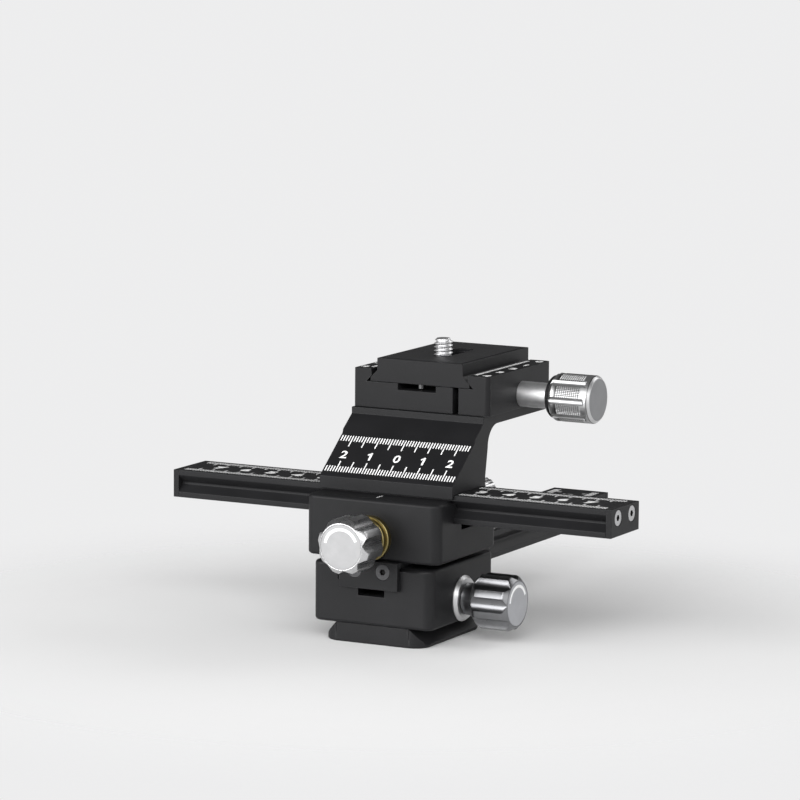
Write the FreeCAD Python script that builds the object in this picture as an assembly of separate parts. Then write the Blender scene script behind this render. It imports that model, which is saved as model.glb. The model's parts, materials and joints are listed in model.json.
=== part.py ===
"""Two-stage macro focusing rail with an Arca-type foot and quick-release clamp.

Millimetres, +Z up. The origin is the centre of the foot's underside, at the
mouth of the tripod thread. The lower rail runs along Y, its free end towards
+Y. The upper rail runs along X and carries the bracket, clamp and plate.
"""
import FreeCAD, Part
import math
import os

V = FreeCAD.Vector
os.makedirs("parts", exist_ok=True)

# ---------------------------------------------------------------- clearances
way_clearance = 0.08        # rail to block, on every sliding face
shaft_clearance = 0.03      # radial, shaft in bush or pin in bore
thread_clearance = 0.03     # radial, a screw in its tapped hole
seat_clearance = 0.05       # between pieces that are assembled but not pressed
screw_clearance = 0.2       # radial, a screw through a plain hole
thrust_gap = 0.1            # end play of a part that turns between two others
knob_gap = 0.3              # between a turning knob and what stands beside it
end_gap = 0.2               # between a shaft's end and the floor of its bore
tap_allowance = 0.5         # a tapped hole is this much deeper than its screw
overrun = 1.0               # how far a cutting shape reaches past what it cuts

# --------------------------------------------------------------------- rails
rail_width = 21.66
rail_height = 9.45
rail_length = 160.8         # bar alone, without its two end plates
rail_lip = 1.85             # height of the lips above and below the side groove
rail_groove_depth = 2.5
end_plate_thickness = 2.0
end_screw_pitch = 10.6
end_screw_height = 6.1      # above the rail's underside
end_screw_length = 9.0

# -------------------------------------------------------------- rack, pinion
gear_module = 0.5
dedendum_share = 1.25       # of the module
pinion_teeth = 23
pressure_angle = 20.0       # degrees
tooth_backlash = 0.04       # taken off each tooth's thickness
rack_width = 7.2
rack_depth_in_rail = 3.2
rack_end_margin = 3.0
gear_width = 7.0
gear_pocket_clearance = 0.25
flank_steps = 5             # straight steps that a tooth's flank is drawn with
pinion_shaft_radius = 2.5
pinion_axis_height = 7.65   # above a block's underside
pinion_bore_radius = 4.5
bush_length = 8.0
shoulder_radius = 3.6
shoulder_length = 1.9
shaft_past_bush = 1.0       # of the shaft, beyond the bush at its inner end

# -------------------------------------------------------------------- blocks
rail_seat_height = 12.7     # floor of the rail channel above the underside
rack_channel_width = 9.8
rack_channel_depth = 2.7    # relief in the floor of the rail channel
block_corner_radius = 3.5
block_edge_radius = 1.2
lower_block_across = 44.8   # along X
lower_block_along = 47.0    # along Y
upper_block_across = 43.8   # along Y
upper_block_along = 50.0    # along X
upper_block_lead = 0.1      # upper block's front, ahead of the lower rail's bar
stop_gap = 0.1              # from the front end plate to the lower block at rest

# ------------------------------------------------------- gibs, locks, screws
gib_thickness = 1.6
gib_roof = 0.9              # of the block's ridge, left above the gib
gib_end_inset = 0.5
gib_screw_radius = 1.5
gib_screw_length = 5.0
set_screw_socket = 1.6
gib_screw_offset = 13.0     # along the rail, from the block's centre
lock_offset = 16.0          # along the rail, from the block's centre
lock_stud_radius = 2.0
lock_knob_radius = 4.3
lock_knob_length = 7.6
lock_knob_gap = 1.4
lock_knob_chamfer = 0.5
lock_knob_cover = 2.0       # of the knob, outside the end of its stud
lock_collar_radius = 3.0
lock_rib_count = 16
lock_groove_radius = 0.5
lock_groove_depth = 0.35
m3_radius = 1.5
m3_head_radius = 2.6
m3_head_height = 1.1
m4_radius = 2.0
m4_head_radius = 3.6
m4_head_height = 1.6
socket_share = 0.62         # hex socket depth as a share of the head's height
head_hex_share = 1.3        # hex across its flats in a head, as a share of the screw's radius
set_point_share = 0.6       # radius of a set screw's point, as a share of its own
set_cone_share = 0.4        # length of that point's cone, as a share of its radius
countersink_sink = 0.15     # heads lie this far under their surface

# --------------------------------------------------------------- drive knobs
lower_knob_reach = 20.4     # face of a drive knob from its block's side
upper_knob_reach = 21.2
knob_length = 14.4
knob_radius = 9.5
knob_chamfer = 1.65
knob_back_chamfer = 2.2
knob_flutes = 7
flute_radius = 3.2
flute_depth = 1.5
knob_cap_radius = 7.5
knob_cap_thickness = 0.9
knob_neck_radius = 5.4
knob_grip_on_shaft = 10.0
knob_screw_from_back = 4.0
knob_screw_length = 4.2
lower_knob_angle = 83.5     # degrees, where the knob's first flute stands
upper_knob_angle = 97.0
collar_radius = 7.5
collar_step_radius = 6.9
flange_radius = 7.75
flange_length = 1.4
collar_length = 4.3
collar_edge = 0.3

# ---------------------------------------------------------------- tripod foot
foot_width = 38.0
foot_length = 45.0
foot_height = 6.5
foot_land = 1.2             # upright part of the foot's sides; the rest leans in at 45 degrees
foot_corner_radius = 6.0
foot_edge_chamfer = 0.4
tripod_thread_radius = 3.175
foot_screw_x = 10.0
foot_screw_y = 14.0
foot_screw_length = 12.0

# ------------------------------------ screws from the lower rail to the block
block_screw_across = 6.5
block_screw_along = 12.0
block_screw_depth = 6.0     # in the upper block

# ------------------------------------------- bracket, in the upper rail's frame
bracket_overhang = 1.1      # foot beyond the rail's side, front and back
bracket_foot_lip = 1.3      # foot below the rail's top
bracket_foot_height = 2.9
scale_top_y = 4.0
scale_top_z = 15.3
scale_step_y = 0.4
scale_step_z = 1.2
nose_y = 10.54
nose_z = 21.05
bracket_height = 23.3
top_plate_thickness = 3.3
top_plate_end_y = 58.5
back_low_y = 12.5
back_low_z = 3.0
back_high_y = 14.2
back_high_z = 12.6
fillet_mid_y = 16.3
fillet_mid_z = 17.9
fillet_end_y = 20.9
bracket_screw_x = 16.0
bracket_screw_y = 6.5
bracket_screw_length = 14.5

# -------------------------------------------------------- quick-release clamp
clamp_inset = 0.4           # fixed side, in from the bracket's left side
clamp_overhang = 1.2        # jaw's outer side, past the bracket's right side
clamp_front_y = 12.0
clamp_length = 47.5
clamp_height = 13.3
channel_depth = 4.4
channel_floor_half = 20.2
lip_half = 18.4
lip_root_half = 18.05
split_left = 12.65
split_width = 2.1
recess_left = 8.2
recess_right = 6.2
recess_depth = 2.15
recess_length = 12.0
clamp_corner_radius = 1.7
jaw_axis_from_front = 25.2
jaw_axis_height = 4.75      # above the clamp's underside
guide_pin_radius = 2.0
guide_pin_offset = 14.5
guide_pin_left = 2.0
guide_pin_wall = 1.4        # jaw wall left at the end of a pin's bore
spring_radius = 2.65        # of the wire's centre line
spring_wire_radius = 0.35
spring_turns = 6
spring_pocket_radius = 3.2
spring_pocket_depth = 5.0
clamp_screw_left = 17.0
clamp_screw_right = 7.0
clamp_screw_y = 8.0         # either side of the jaw's axis
clamp_screw_length = 8.0
clamp_thread_radius = 3.0
clamp_thread_left = 6.0
clamp_screw_end_gap = 1.5   # tapped hole left empty beyond the screw
clamp_screw_in_knob = 10.0
neck_radius = 4.35
neck_length = 11.5
clamp_knob_radius = 8.2
clamp_knob_length = 15.8
clamp_knob_chamfer = 1.4
clamp_flute_radius = 1.6
clamp_flute_depth = 0.9
clamp_knob_angle = 15.0
clamp_cap_radius = 6.6
clamp_ring_radius = 7.2
clamp_ring_length = 1.2
clamp_ring_chamfer = 0.8

# ---------------------------------------------------------- quick-release plate
plate_length = 50.2
plate_front_inset = 0.25    # behind the clamp's front face
plate_top_half = 16.25
plate_land_half = 18.8
plate_land = 1.3
plate_height = 8.1
pad_border = 1.3
pad_depth = 1.0
pad_proud = 0.1
slot_travel = 15.4
slot_half = 3.3
screw_slot_half = 6.9
screw_slot_depth = 4.2
washer_radius = 6.0
washer_thickness = 0.8
camera_screw_radius = 3.175
camera_screw_stick_out = 5.8
camera_screw_relief = 0.35  # radial, on the shank below the thread
camera_head_radius = 6.3
camera_head_height = 2.4
camera_coin_slot = 1.4
camera_coin_depth = 1.2
stop_pin_radius = 1.2
stop_pin_drop = 1.7
stop_pin_seat = 3.0
stop_pin_inset = 3.5

# ------------------------------------------------------------- worked-out sizes
m3 = (m3_radius, m3_head_radius, m3_head_height)
m4 = (m4_radius, m4_head_radius, m4_head_height)
half_rail = rail_width / 2
rail_bottom_height = rail_seat_height + way_clearance
block_height = rail_bottom_height + rail_height - rail_lip
stage_height = rail_bottom_height + rail_height
pitch_radius = gear_module * pinion_teeth / 2
gear_pitch = math.pi * gear_module
gear_dedendum = dedendum_share * gear_module
rack_pitch_height = pinion_axis_height + pitch_radius
rack_tip_height = rack_pitch_height - gear_module
rack_root_height = rack_pitch_height + gear_dedendum
rack_channel_floor = rail_seat_height - rack_channel_depth
gear_pocket_radius = pitch_radius + gear_module + gear_pocket_clearance
bush_end = rack_channel_width / 2 + bush_length
shaft_end = bush_end + shaft_past_bush
spigot_start = bush_end + shoulder_length + 2 * thrust_gap
rack_length = rail_length - 2 * rack_end_margin
half_channel = half_rail + way_clearance
half_ridge = half_channel - rail_groove_depth
slant_gap = way_clearance * (math.sqrt(2) - 1)
ridge_low = rail_bottom_height + rail_lip + slant_gap
ridge_high = rail_bottom_height + rail_height - rail_lip - slant_gap
gib_top = ridge_high - gib_roof
gib_back = half_channel + gib_thickness
side_screw_height = rail_bottom_height + rail_height / 2
block_screw_length = rail_height + block_screw_depth
lower_block_z = foot_height
upper_block_z = foot_height + stage_height
upper_rail_top_z = upper_block_z + stage_height
lower_rail_start_y = -lower_block_along / 2 - stop_gap
lower_rail_centre_y = lower_rail_start_y + rail_length / 2
upper_centre_y = lower_rail_start_y - upper_block_lead + upper_block_across / 2
bracket_width = upper_block_along
clamp_left = bracket_width / 2 - clamp_inset
clamp_right = bracket_width / 2 + clamp_overhang
clamp_base_z = bracket_height + seat_clearance
channel_floor_z = clamp_base_z + clamp_height - channel_depth
clamp_top_z = clamp_base_z + clamp_height
clamp_end_y = clamp_front_y + clamp_length
jaw_left = split_left + split_width
jaw_axis_y = clamp_front_y + jaw_axis_from_front
jaw_axis_z = clamp_base_z + jaw_axis_height
plate_front_y = clamp_front_y + plate_front_inset
plate_base_z = channel_floor_z + seat_clearance
plate_top_z = plate_base_z + plate_height
plate_end_y = plate_front_y + plate_length
plate_centre_y = plate_front_y + plate_length / 2
stop_pin_x = (recess_right - recess_left) / 2


# -------------------------------------------------------------------- helpers
def box(x0, x1, y0, y1, z0, z1):
    return Part.makeBox(x1 - x0, y1 - y0, z1 - z0, V(x0, y0, z0))


def rod_x(radius, x0, x1, y=0.0, z=0.0):
    return Part.makeCylinder(radius, x1 - x0, V(x0, y, z), V(1, 0, 0))


def rod_z(radius, z0, z1, x=0.0, y=0.0):
    return Part.makeCylinder(radius, z1 - z0, V(x, y, z0), V(0, 0, 1))


def tube_x(outer, inner, x0, x1, y=0.0, z=0.0):
    return rod_x(outer, x0, x1, y, z).cut(rod_x(inner, x0 - overrun, x1 + overrun, y, z))


def revolve_x(points):
    """Solid of revolution about X from (x, radius) points; the axis closes it."""
    first, last = points[0], points[-1]
    outline = [V(first[0], 0, 0)] + [V(x, 0, r) for x, r in points]
    outline += [V(last[0], 0, 0), V(first[0], 0, 0)]
    face = Part.Face(Part.makePolygon(outline))
    return face.revolve(V(0, 0, 0), V(1, 0, 0), 360)


def extrude_along_y(points, y0, y1):
    """Prism along Y from (x, z) corner points."""
    outline = [V(x, y0, z) for x, z in points]
    return Part.Face(Part.makePolygon(outline + outline[:1])).extrude(V(0, y1 - y0, 0))


def hexagon_x(across_flats, x0, x1):
    """Hexagonal prism along X, centred on the axis."""
    corner = across_flats / math.sqrt(3)
    turns = [math.radians(60 * i) for i in range(6)]
    outline = [V(x0, corner * math.cos(t), corner * math.sin(t)) for t in turns]
    return Part.Face(Part.makePolygon(outline + outline[:1])).extrude(V(x1 - x0, 0, 0))


def placed(shape, turn=0.0, x=0.0, y=0.0, z=0.0):
    """Copy of a shape, turned about Z by some degrees and then moved."""
    copy = shape.copy()
    copy.rotate(V(0, 0, 0), V(0, 0, 1), turn)
    copy.translate(V(x, y, z))
    return copy


def turned(shape, axis, degrees, x=0.0, y=0.0, z=0.0):
    """Copy of a shape, turned about an axis through the origin, then moved."""
    copy = shape.copy()
    copy.rotate(V(0, 0, 0), axis, degrees)
    copy.translate(V(x, y, z))
    return copy


def edges_along(shape, direction):
    """Straight edges of a shape that run along a direction."""
    found = []
    for edge in shape.Edges:
        if edge.Curve.TypeId == "Part::GeomLine":
            if abs(abs(edge.Curve.Direction.dot(direction)) - 1) < 1e-6:
                found.append(edge)
    return found


def save(name, shapes):
    """Write one node: one solid, or a group of like solids."""
    solids = []
    for shape in shapes if isinstance(shapes, list) else [shapes]:
        solids += shape.removeSplitter().Solids
    node = solids[0] if len(solids) == 1 else Part.makeCompound(solids)
    node.exportStep("parts/" + name + ".step")


# ------------------------------------------------------------ standard pieces
def countersunk_screw(size, length):
    """Screw along +X; the head's flat face is at x = 0 and carries a hex socket."""
    radius, head_radius, head_height = size
    body = revolve_x([(0, head_radius), (head_height, radius), (length, radius)])
    socket_depth = head_height * socket_share
    return body.cut(hexagon_x(radius * head_hex_share, -overrun, socket_depth))


def countersunk_hole(size, length, plain_length):
    """Cutter for that screw: plain through the clamped piece, tapped beyond it."""
    radius, head_radius, head_height = size
    plain = radius + screw_clearance
    head = head_radius + screw_clearance
    tapped = radius + thread_clearance
    return revolve_x([(-overrun, head), (0, head), (head_height, plain), (plain_length, plain),
                      (plain_length, tapped), (length + tap_allowance, tapped)])


def set_screw(radius, length):
    """Headless socket screw along +X from x = 0; the socket is at the far end."""
    body = revolve_x([(0, radius * set_point_share), (radius * set_cone_share, radius), (length, radius)])
    return body.cut(hexagon_x(radius, length - set_screw_socket, length + overrun))


# ---------------------------------------------------------------------- gears
def involute(angle):
    return math.tan(angle) - angle


def pinion_outline():
    """Corner points (y, z) of a pinion with one tooth on +Z, about the origin."""
    alpha = math.radians(pressure_angle)
    base = pitch_radius * math.cos(alpha)
    tip = pitch_radius + gear_module
    root = pitch_radius - gear_dedendum
    half_tooth = (gear_pitch / 2 - tooth_backlash) / (2 * pitch_radius)
    points = []
    for tooth in range(pinion_teeth):
        centre = math.pi / 2 - tooth * 2 * math.pi / pinion_teeth
        flank = []
        for step in range(flank_steps + 1):
            radius = base + (tip - base) * step / flank_steps
            at = math.acos(base / radius)
            flank.append((radius, half_tooth + involute(alpha) - involute(at)))
        flank.insert(0, (root, flank[0][1]))
        for radius, half in flank:
            points.append((radius * math.cos(centre + half), radius * math.sin(centre + half)))
        for radius, half in reversed(flank):
            points.append((radius * math.cos(centre - half), radius * math.sin(centre - half)))
    return points


def rack():
    """Rack in the stage frame: teeth down, bar centred on y = 0, one gap there."""
    half_pitch_tooth = (gear_pitch / 2 - tooth_backlash) / 2
    slope = math.tan(math.radians(pressure_angle))
    root_half = half_pitch_tooth + gear_dedendum * slope
    tip_half = half_pitch_tooth - gear_module * slope
    top = rail_bottom_height + rack_depth_in_rail
    half_length = rack_length / 2
    teeth_each_side = int((half_length - root_half) / gear_pitch - 0.5)
    outline = [V(0, half_length, top), V(0, -half_length, top), V(0, -half_length, rack_root_height)]
    for i in range(-teeth_each_side - 1, teeth_each_side + 1):
        y = (i + 0.5) * gear_pitch
        outline += [V(0, y - root_half, rack_root_height), V(0, y - tip_half, rack_tip_height),
                    V(0, y + tip_half, rack_tip_height), V(0, y + root_half, rack_root_height)]
    outline += [V(0, half_length, rack_root_height), V(0, half_length, top)]
    bar = Part.Face(Part.makePolygon(outline)).extrude(V(rack_width, 0, 0))
    return placed(bar, x=-rack_width / 2)


# ---------------------------------------------- pieces of one stage, own frame
# In a stage's frame its rail runs along Y and its knob points along +X. The
# underside of the block is z = 0.
def rail_section():
    inner = half_rail - rail_groove_depth
    low = rail_bottom_height
    high = low + rail_height
    right = [(half_rail, low), (half_rail, low + rail_lip), (inner, low + rail_lip + rail_groove_depth),
             (inner, high - rail_lip - rail_groove_depth), (half_rail, high - rail_lip), (half_rail, high)]
    return right + [(-x, z) for x, z in reversed(right)]


def rail_bar(rack_centre):
    """Bar about y = 0; its rack lies rack_centre away from the bar's middle."""
    half = rail_length / 2
    bar = extrude_along_y(rail_section(), -half, half)
    groove = rack_width / 2
    bar = bar.cut(box(-groove, groove, rack_centre - rack_length / 2, rack_centre + rack_length / 2,
                      rail_bottom_height - overrun, rail_bottom_height + rack_depth_in_rail))
    return bar.cut(Part.makeCompound(at_end_screws(end_screw_hole())))


def end_screw_hole():
    return countersunk_hole(m3, end_screw_length, end_plate_thickness)


def at_end_screws(piece):
    """Copies of a piece that points along +X, at the four end-plate screws."""
    copies = []
    face = rail_length / 2 + end_plate_thickness - countersink_sink
    height = rail_bottom_height + end_screw_height
    for x in (-end_screw_pitch / 2, end_screw_pitch / 2):
        copies.append(placed(piece, 90, x, -face, height))
        copies.append(placed(piece, -90, x, face, height))
    return copies


def end_plates():
    half = rail_length / 2
    top = rail_bottom_height + rail_height
    far = half + end_plate_thickness
    plates = [box(-half_rail, half_rail, half, far, rail_bottom_height, top),
              box(-half_rail, half_rail, -far, -half, rail_bottom_height, top)]
    holes = Part.makeCompound(at_end_screws(end_screw_hole()))
    return [plate.cut(holes) for plate in plates]


def end_plate_screws():
    return at_end_screws(countersunk_screw(m3, end_screw_length))


def channel_cutter(along):
    """Space for the rail: its section, grown by the running clearance."""
    slope_end = ridge_high + gib_thickness
    right = [(half_channel, rail_seat_height), (half_channel, ridge_low),
             (half_ridge, ridge_low + rail_groove_depth), (half_ridge, ridge_high - rail_groove_depth),
             (half_ridge + slope_end - ridge_high + rail_groove_depth, slope_end)]
    section = right + [(-x, z) for x, z in reversed(right)]
    return extrude_along_y(section, -along / 2 - overrun, along / 2 + overrun)


def gib(along):
    """Strip that takes the place of the ridge on the -X side."""
    slope_run = gib_top - (ridge_high - rail_groove_depth)
    section = [(-gib_back, ridge_low), (-half_channel, ridge_low),
               (-half_ridge, ridge_low + rail_groove_depth), (-half_ridge, ridge_high - rail_groove_depth),
               (-half_ridge - slope_run, gib_top), (-gib_back, gib_top)]
    return extrude_along_y(section, -along / 2 + gib_end_inset, along / 2 - gib_end_inset)


def gib_pocket(along):
    return box(-gib_back - seat_clearance, -half_ridge, -along / 2 - overrun, along / 2 + overrun,
               ridge_low, gib_top + seat_clearance)


def gib_screw_places():
    return [-gib_screw_offset, gib_screw_offset - lock_offset]


def gib_screws():
    """Set screws that bear on the gib's back, pointing to -X."""
    screw = placed(set_screw(gib_screw_radius, gib_screw_length), 180)
    start = -gib_back - seat_clearance
    return [placed(screw, 0, start, y, side_screw_height) for y in gib_screw_places()]


def block(across, along):
    """One slide block with its rail channel, rack channel, bores and pockets."""
    body = box(-across / 2, across / 2, -along / 2, along / 2, 0, block_height)
    body = body.makeFillet(block_corner_radius, edges_along(body, V(0, 0, 1)))
    rims = [e for e in body.Edges if abs(e.BoundBox.ZMax - e.BoundBox.ZMin) < 1e-6]
    body = body.makeFillet(block_edge_radius, rims)
    half_rack = rack_channel_width / 2
    cutters = [channel_cutter(along),
               box(-half_rack, half_rack, -along, along, rack_channel_floor, rail_seat_height + overrun),
               rod_x(pinion_bore_radius, -shaft_end - end_gap, across, 0, pinion_axis_height),
               rod_x(gear_pocket_radius, -half_rack, half_rack, 0, pinion_axis_height),
               box(-half_rack, half_rack, -gear_pocket_radius, gear_pocket_radius,
                   pinion_axis_height, rail_seat_height + overrun),
               gib_pocket(along)]
    for y in gib_screw_places():
        hole = rod_x(gib_screw_radius + thread_clearance, -across, -gib_back, y, side_screw_height)
        cutters.append(hole)
    stud_bore = lock_stud_radius + shaft_clearance
    cutters.append(rod_x(stud_bore, -across, -gib_back, lock_offset, side_screw_height))
    for cutter in cutters:
        body = body.cut(cutter)
    return body


def bushes():
    half_rack = rack_channel_width / 2
    inner = pinion_shaft_radius + shaft_clearance
    right = tube_x(pinion_bore_radius, inner, half_rack, bush_end, 0, pinion_axis_height)
    left = tube_x(pinion_bore_radius, inner, -bush_end, -half_rack, 0, pinion_axis_height)
    return [left, right]


def pinion():
    """Pinion with a hub at each side, in the block's gear pocket."""
    outline = [V(-gear_width / 2, y, z) for y, z in pinion_outline()]
    gear = Part.Face(Part.makePolygon(outline + outline[:1])).extrude(V(gear_width, 0, 0))
    hub_end = rack_channel_width / 2 - thrust_gap
    hub = rod_x(pitch_radius - gear_dedendum, -hub_end, hub_end)
    bore = rod_x(pinion_shaft_radius, -rack_channel_width, rack_channel_width)
    return placed(gear.fuse(hub).cut(bore), z=pinion_axis_height)


def knob_shaft(across, reach):
    """Shaft of pinion and knob, with a shoulder behind the bearing collar."""
    knob_start = across / 2 + reach - knob_length
    shaft = rod_x(pinion_shaft_radius, -shaft_end, knob_start + knob_grip_on_shaft)
    start = bush_end + thrust_gap
    shoulder = rod_x(shoulder_radius, start, start + shoulder_length)
    return placed(shaft.fuse(shoulder), z=pinion_axis_height)


def brass_collar(across):
    """Two-step bearing collar: a spigot in the block's bore and two flanges."""
    side = across / 2
    step = collar_length / 2
    outline = [(spigot_start, pinion_bore_radius), (side, pinion_bore_radius), (side, collar_radius),
               (side + step - collar_edge, collar_radius), (side + step, collar_radius - collar_edge),
               (side + step, collar_step_radius), (side + collar_length - collar_edge, collar_step_radius),
               (side + collar_length, collar_step_radius - collar_edge)]
    return bored_for_shaft(revolve_x(outline), across)


def chrome_flange(across):
    """Thin conical bearing flange with the same spigot."""
    side = across / 2
    outline = [(spigot_start, pinion_bore_radius), (side, pinion_bore_radius), (side, flange_radius),
               (side + collar_edge, flange_radius), (side + flange_length, collar_step_radius)]
    return bored_for_shaft(revolve_x(outline), across)


def bored_for_shaft(shape, across):
    bore = rod_x(pinion_shaft_radius + shaft_clearance, 0, across)
    return placed(shape.cut(bore), z=pinion_axis_height)


def fluted(outline, radius, count, cutter_radius, depth, first_angle):
    """Solid of revolution about X with round flutes along its side."""
    body = revolve_x(outline)
    start = outline[0][0] - overrun
    end = outline[-1][0] + overrun
    distance = radius - depth + cutter_radius
    flutes = []
    for i in range(count):
        turn = math.radians(first_angle + 360.0 * i / count)
        flutes.append(rod_x(cutter_radius, start, end, distance * math.cos(turn), distance * math.sin(turn)))
    return body.cut(Part.makeCompound(flutes))


def drive_knob(across, reach, bearing_length, first_angle):
    """Seven-flute knob with a neck, its cap and its set screw, on the pinion's axis."""
    face = across / 2 + reach
    start = face - knob_length
    neck_start = across / 2 + bearing_length + knob_gap
    outline = [(start, knob_radius - knob_back_chamfer), (start + knob_back_chamfer, knob_radius),
               (face - knob_chamfer, knob_radius), (face, knob_radius - knob_chamfer)]
    body = fluted(outline, knob_radius, knob_flutes, flute_radius, flute_depth, first_angle)
    body = body.fuse(rod_x(knob_neck_radius, neck_start, start + knob_back_chamfer))
    body = body.cut(rod_x(pinion_shaft_radius + seat_clearance, 0, start + knob_grip_on_shaft + end_gap))
    body = body.cut(rod_x(knob_cap_radius, face - knob_cap_thickness, face + overrun))
    cap = rod_x(knob_cap_radius, face - knob_cap_thickness, face)
    screw_x = start + knob_screw_from_back
    lift = pinion_shaft_radius + seat_clearance
    screw = turned(set_screw(m3_radius, knob_screw_length), V(0, 1, 0), -90, screw_x, 0, lift)
    hole = rod_z(m3_radius + thread_clearance, 0, knob_radius + overrun, screw_x, 0)
    turn = first_angle - 90
    screw = turned(screw, V(1, 0, 0), turn)
    body = body.cut(turned(hole, V(1, 0, 0), turn))
    return [placed(piece, z=pinion_axis_height) for piece in (body, cap, screw)]


def lock_knob(across):
    """Small ribbed thumb screw on the -X side: stud and knob."""
    side = -across / 2
    tip = -gib_back - seat_clearance - thrust_gap
    start = side - lock_knob_gap
    end = start - lock_knob_length
    chamfer = lock_knob_chamfer
    stud = rod_x(lock_stud_radius, end + lock_knob_cover, tip)
    outline = [(end, lock_knob_radius - chamfer), (end + chamfer, lock_knob_radius),
               (start - chamfer, lock_knob_radius), (start, lock_knob_radius - chamfer)]
    knob = fluted(outline, lock_knob_radius, lock_rib_count, lock_groove_radius, lock_groove_depth, 0)
    knob = knob.fuse(rod_x(lock_collar_radius, start - chamfer, side - knob_gap))
    knob = knob.cut(rod_x(lock_stud_radius, end + lock_knob_cover, 0))
    return [placed(piece, 0, 0, lock_offset, side_screw_height) for piece in (stud, knob)]


# ------------------------------------------------------- where each stage stands
def in_lower(piece):
    return placed(piece, z=lower_block_z)


def in_upper(piece):
    """Upper stage: its knob points to the front and its rail runs along X."""
    return placed(piece, -90, 0, upper_centre_y, upper_block_z)


def on_lower_rail(piece):
    """A piece of the lower rail, drawn about the middle of its bar."""
    return placed(piece, 0, 0, lower_rail_centre_y, lower_block_z)


def in_cross(piece):
    """From the upper rail's frame: y from its centre line, z from its top."""
    return placed(piece, 0, 0, upper_centre_y, upper_rail_top_z)


# ---------------------------------------------------------------- tripod foot
def foot():
    half = foot_width / 2
    right = [(half, 0), (half, foot_land), (half - foot_height + foot_land, foot_height)]
    section = right + [(-x, z) for x, z in reversed(right)]
    body = extrude_along_y(section, -foot_length / 2, foot_length / 2)
    envelope = box(-half, half, -foot_length / 2, foot_length / 2, 0, foot_height)
    envelope = envelope.makeFillet(foot_corner_radius, edges_along(envelope, V(0, 0, 1)))
    envelope = envelope.makeChamfer(foot_edge_chamfer, [e for e in envelope.Edges if e.BoundBox.ZMax < 1e-6])
    body = body.common(envelope)
    body = body.cut(rod_z(tripod_thread_radius, -overrun, foot_height + overrun))
    return body.cut(Part.makeCompound(at_foot_screws(foot_screw_hole())))


def foot_screw_hole():
    return countersunk_hole(m4, foot_screw_length, foot_height)


def at_foot_screws(piece):
    """Copies of a piece that points along +X, turned up, at the foot's screws."""
    copies = []
    for x in (-foot_screw_x, foot_screw_x):
        for y in (-foot_screw_y, foot_screw_y):
            copies.append(turned(piece, V(0, 1, 0), -90, x, y, countersink_sink))
    return copies


# ------------------------------------------------ screws that join the two stages
def at_block_screws(piece):
    """Copies of a piece under the lower rail, pointing up into the upper block."""
    copies = []
    base = lower_block_z + rail_bottom_height + countersink_sink
    for x in (-block_screw_across, block_screw_across):
        for y in (-block_screw_along, block_screw_along):
            copies.append(turned(piece, V(0, 1, 0), -90, x, upper_centre_y + y, base))
    return copies


def block_screw_hole():
    return countersunk_hole(m3, block_screw_length, rail_height)


# --------------------------------------------------------------------- bracket
def bracket():
    """Slanted bracket in the upper rail's frame, extruded along X."""
    front = -half_rail - bracket_overhang
    inner = half_rail + seat_clearance
    underside = bracket_height - top_plate_thickness

    def at(y, z):
        return V(-bracket_width / 2, y, z)

    upper_corners = [(fillet_end_y, underside), (top_plate_end_y, underside),
                     (top_plate_end_y, bracket_height), (nose_y, bracket_height), (nose_y, nose_z),
                     (scale_top_y + scale_step_y, scale_top_z + scale_step_z), (scale_top_y, scale_top_z),
                     (front, bracket_foot_height), (front, -bracket_foot_lip), (-inner, -bracket_foot_lip),
                     (-inner, 0), (inner, 0), (inner, -bracket_foot_lip), (back_low_y, -bracket_foot_lip),
                     (back_low_y, back_low_z), (back_high_y, back_high_z)]
    edges = []
    for start, end in zip(upper_corners, upper_corners[1:]):
        edges.append(Part.LineSegment(at(*start), at(*end)).toShape())
    curve = [at(back_high_y, back_high_z), at(fillet_mid_y, fillet_mid_z), at(fillet_end_y, underside)]
    edges.append(Part.Arc(*curve).toShape())
    body = Part.Face(Part.Wire(edges)).extrude(V(bracket_width, 0, 0))
    body = body.cut(Part.makeCompound(at_bracket_screws(bracket_screw_hole())))
    return body.cut(Part.makeCompound(at_clamp_screws(clamp_screw_hole())))


def bracket_screw_hole():
    return countersunk_hole(m3, bracket_screw_length, rail_height)


def at_bracket_screws(piece):
    """Copies of a piece under the upper rail, pointing up into the bracket."""
    copies = []
    for x in (-bracket_screw_x, bracket_screw_x):
        for y in (-bracket_screw_y, bracket_screw_y):
            copies.append(turned(piece, V(0, 1, 0), -90, x, y, countersink_sink - rail_height))
    return copies


# ----------------------------------------------------------------------- clamp
def clamp_screw_hole():
    return countersunk_hole(m3, clamp_screw_length, top_plate_thickness)


def at_clamp_screws(piece):
    """Copies of a piece under the bracket's top plate, pointing up."""
    copies = []
    base = bracket_height - top_plate_thickness + countersink_sink
    for x in (-clamp_screw_left, clamp_screw_right):
        for y in (jaw_axis_y - clamp_screw_y, jaw_axis_y + clamp_screw_y):
            copies.append(turned(piece, V(0, 1, 0), -90, x, y, base))
    return copies


def lip_outline(outer):
    """Corner points (x, z) up the outside and down inside the right-hand lip."""
    root_z = channel_floor_z + channel_floor_half - lip_root_half
    return [(outer, clamp_base_z), (outer, clamp_top_z), (lip_half, clamp_top_z),
            (lip_root_half, root_z), (channel_floor_half, channel_floor_z)]


def pin_places():
    return [jaw_axis_y - guide_pin_offset, jaw_axis_y + guide_pin_offset]


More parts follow.
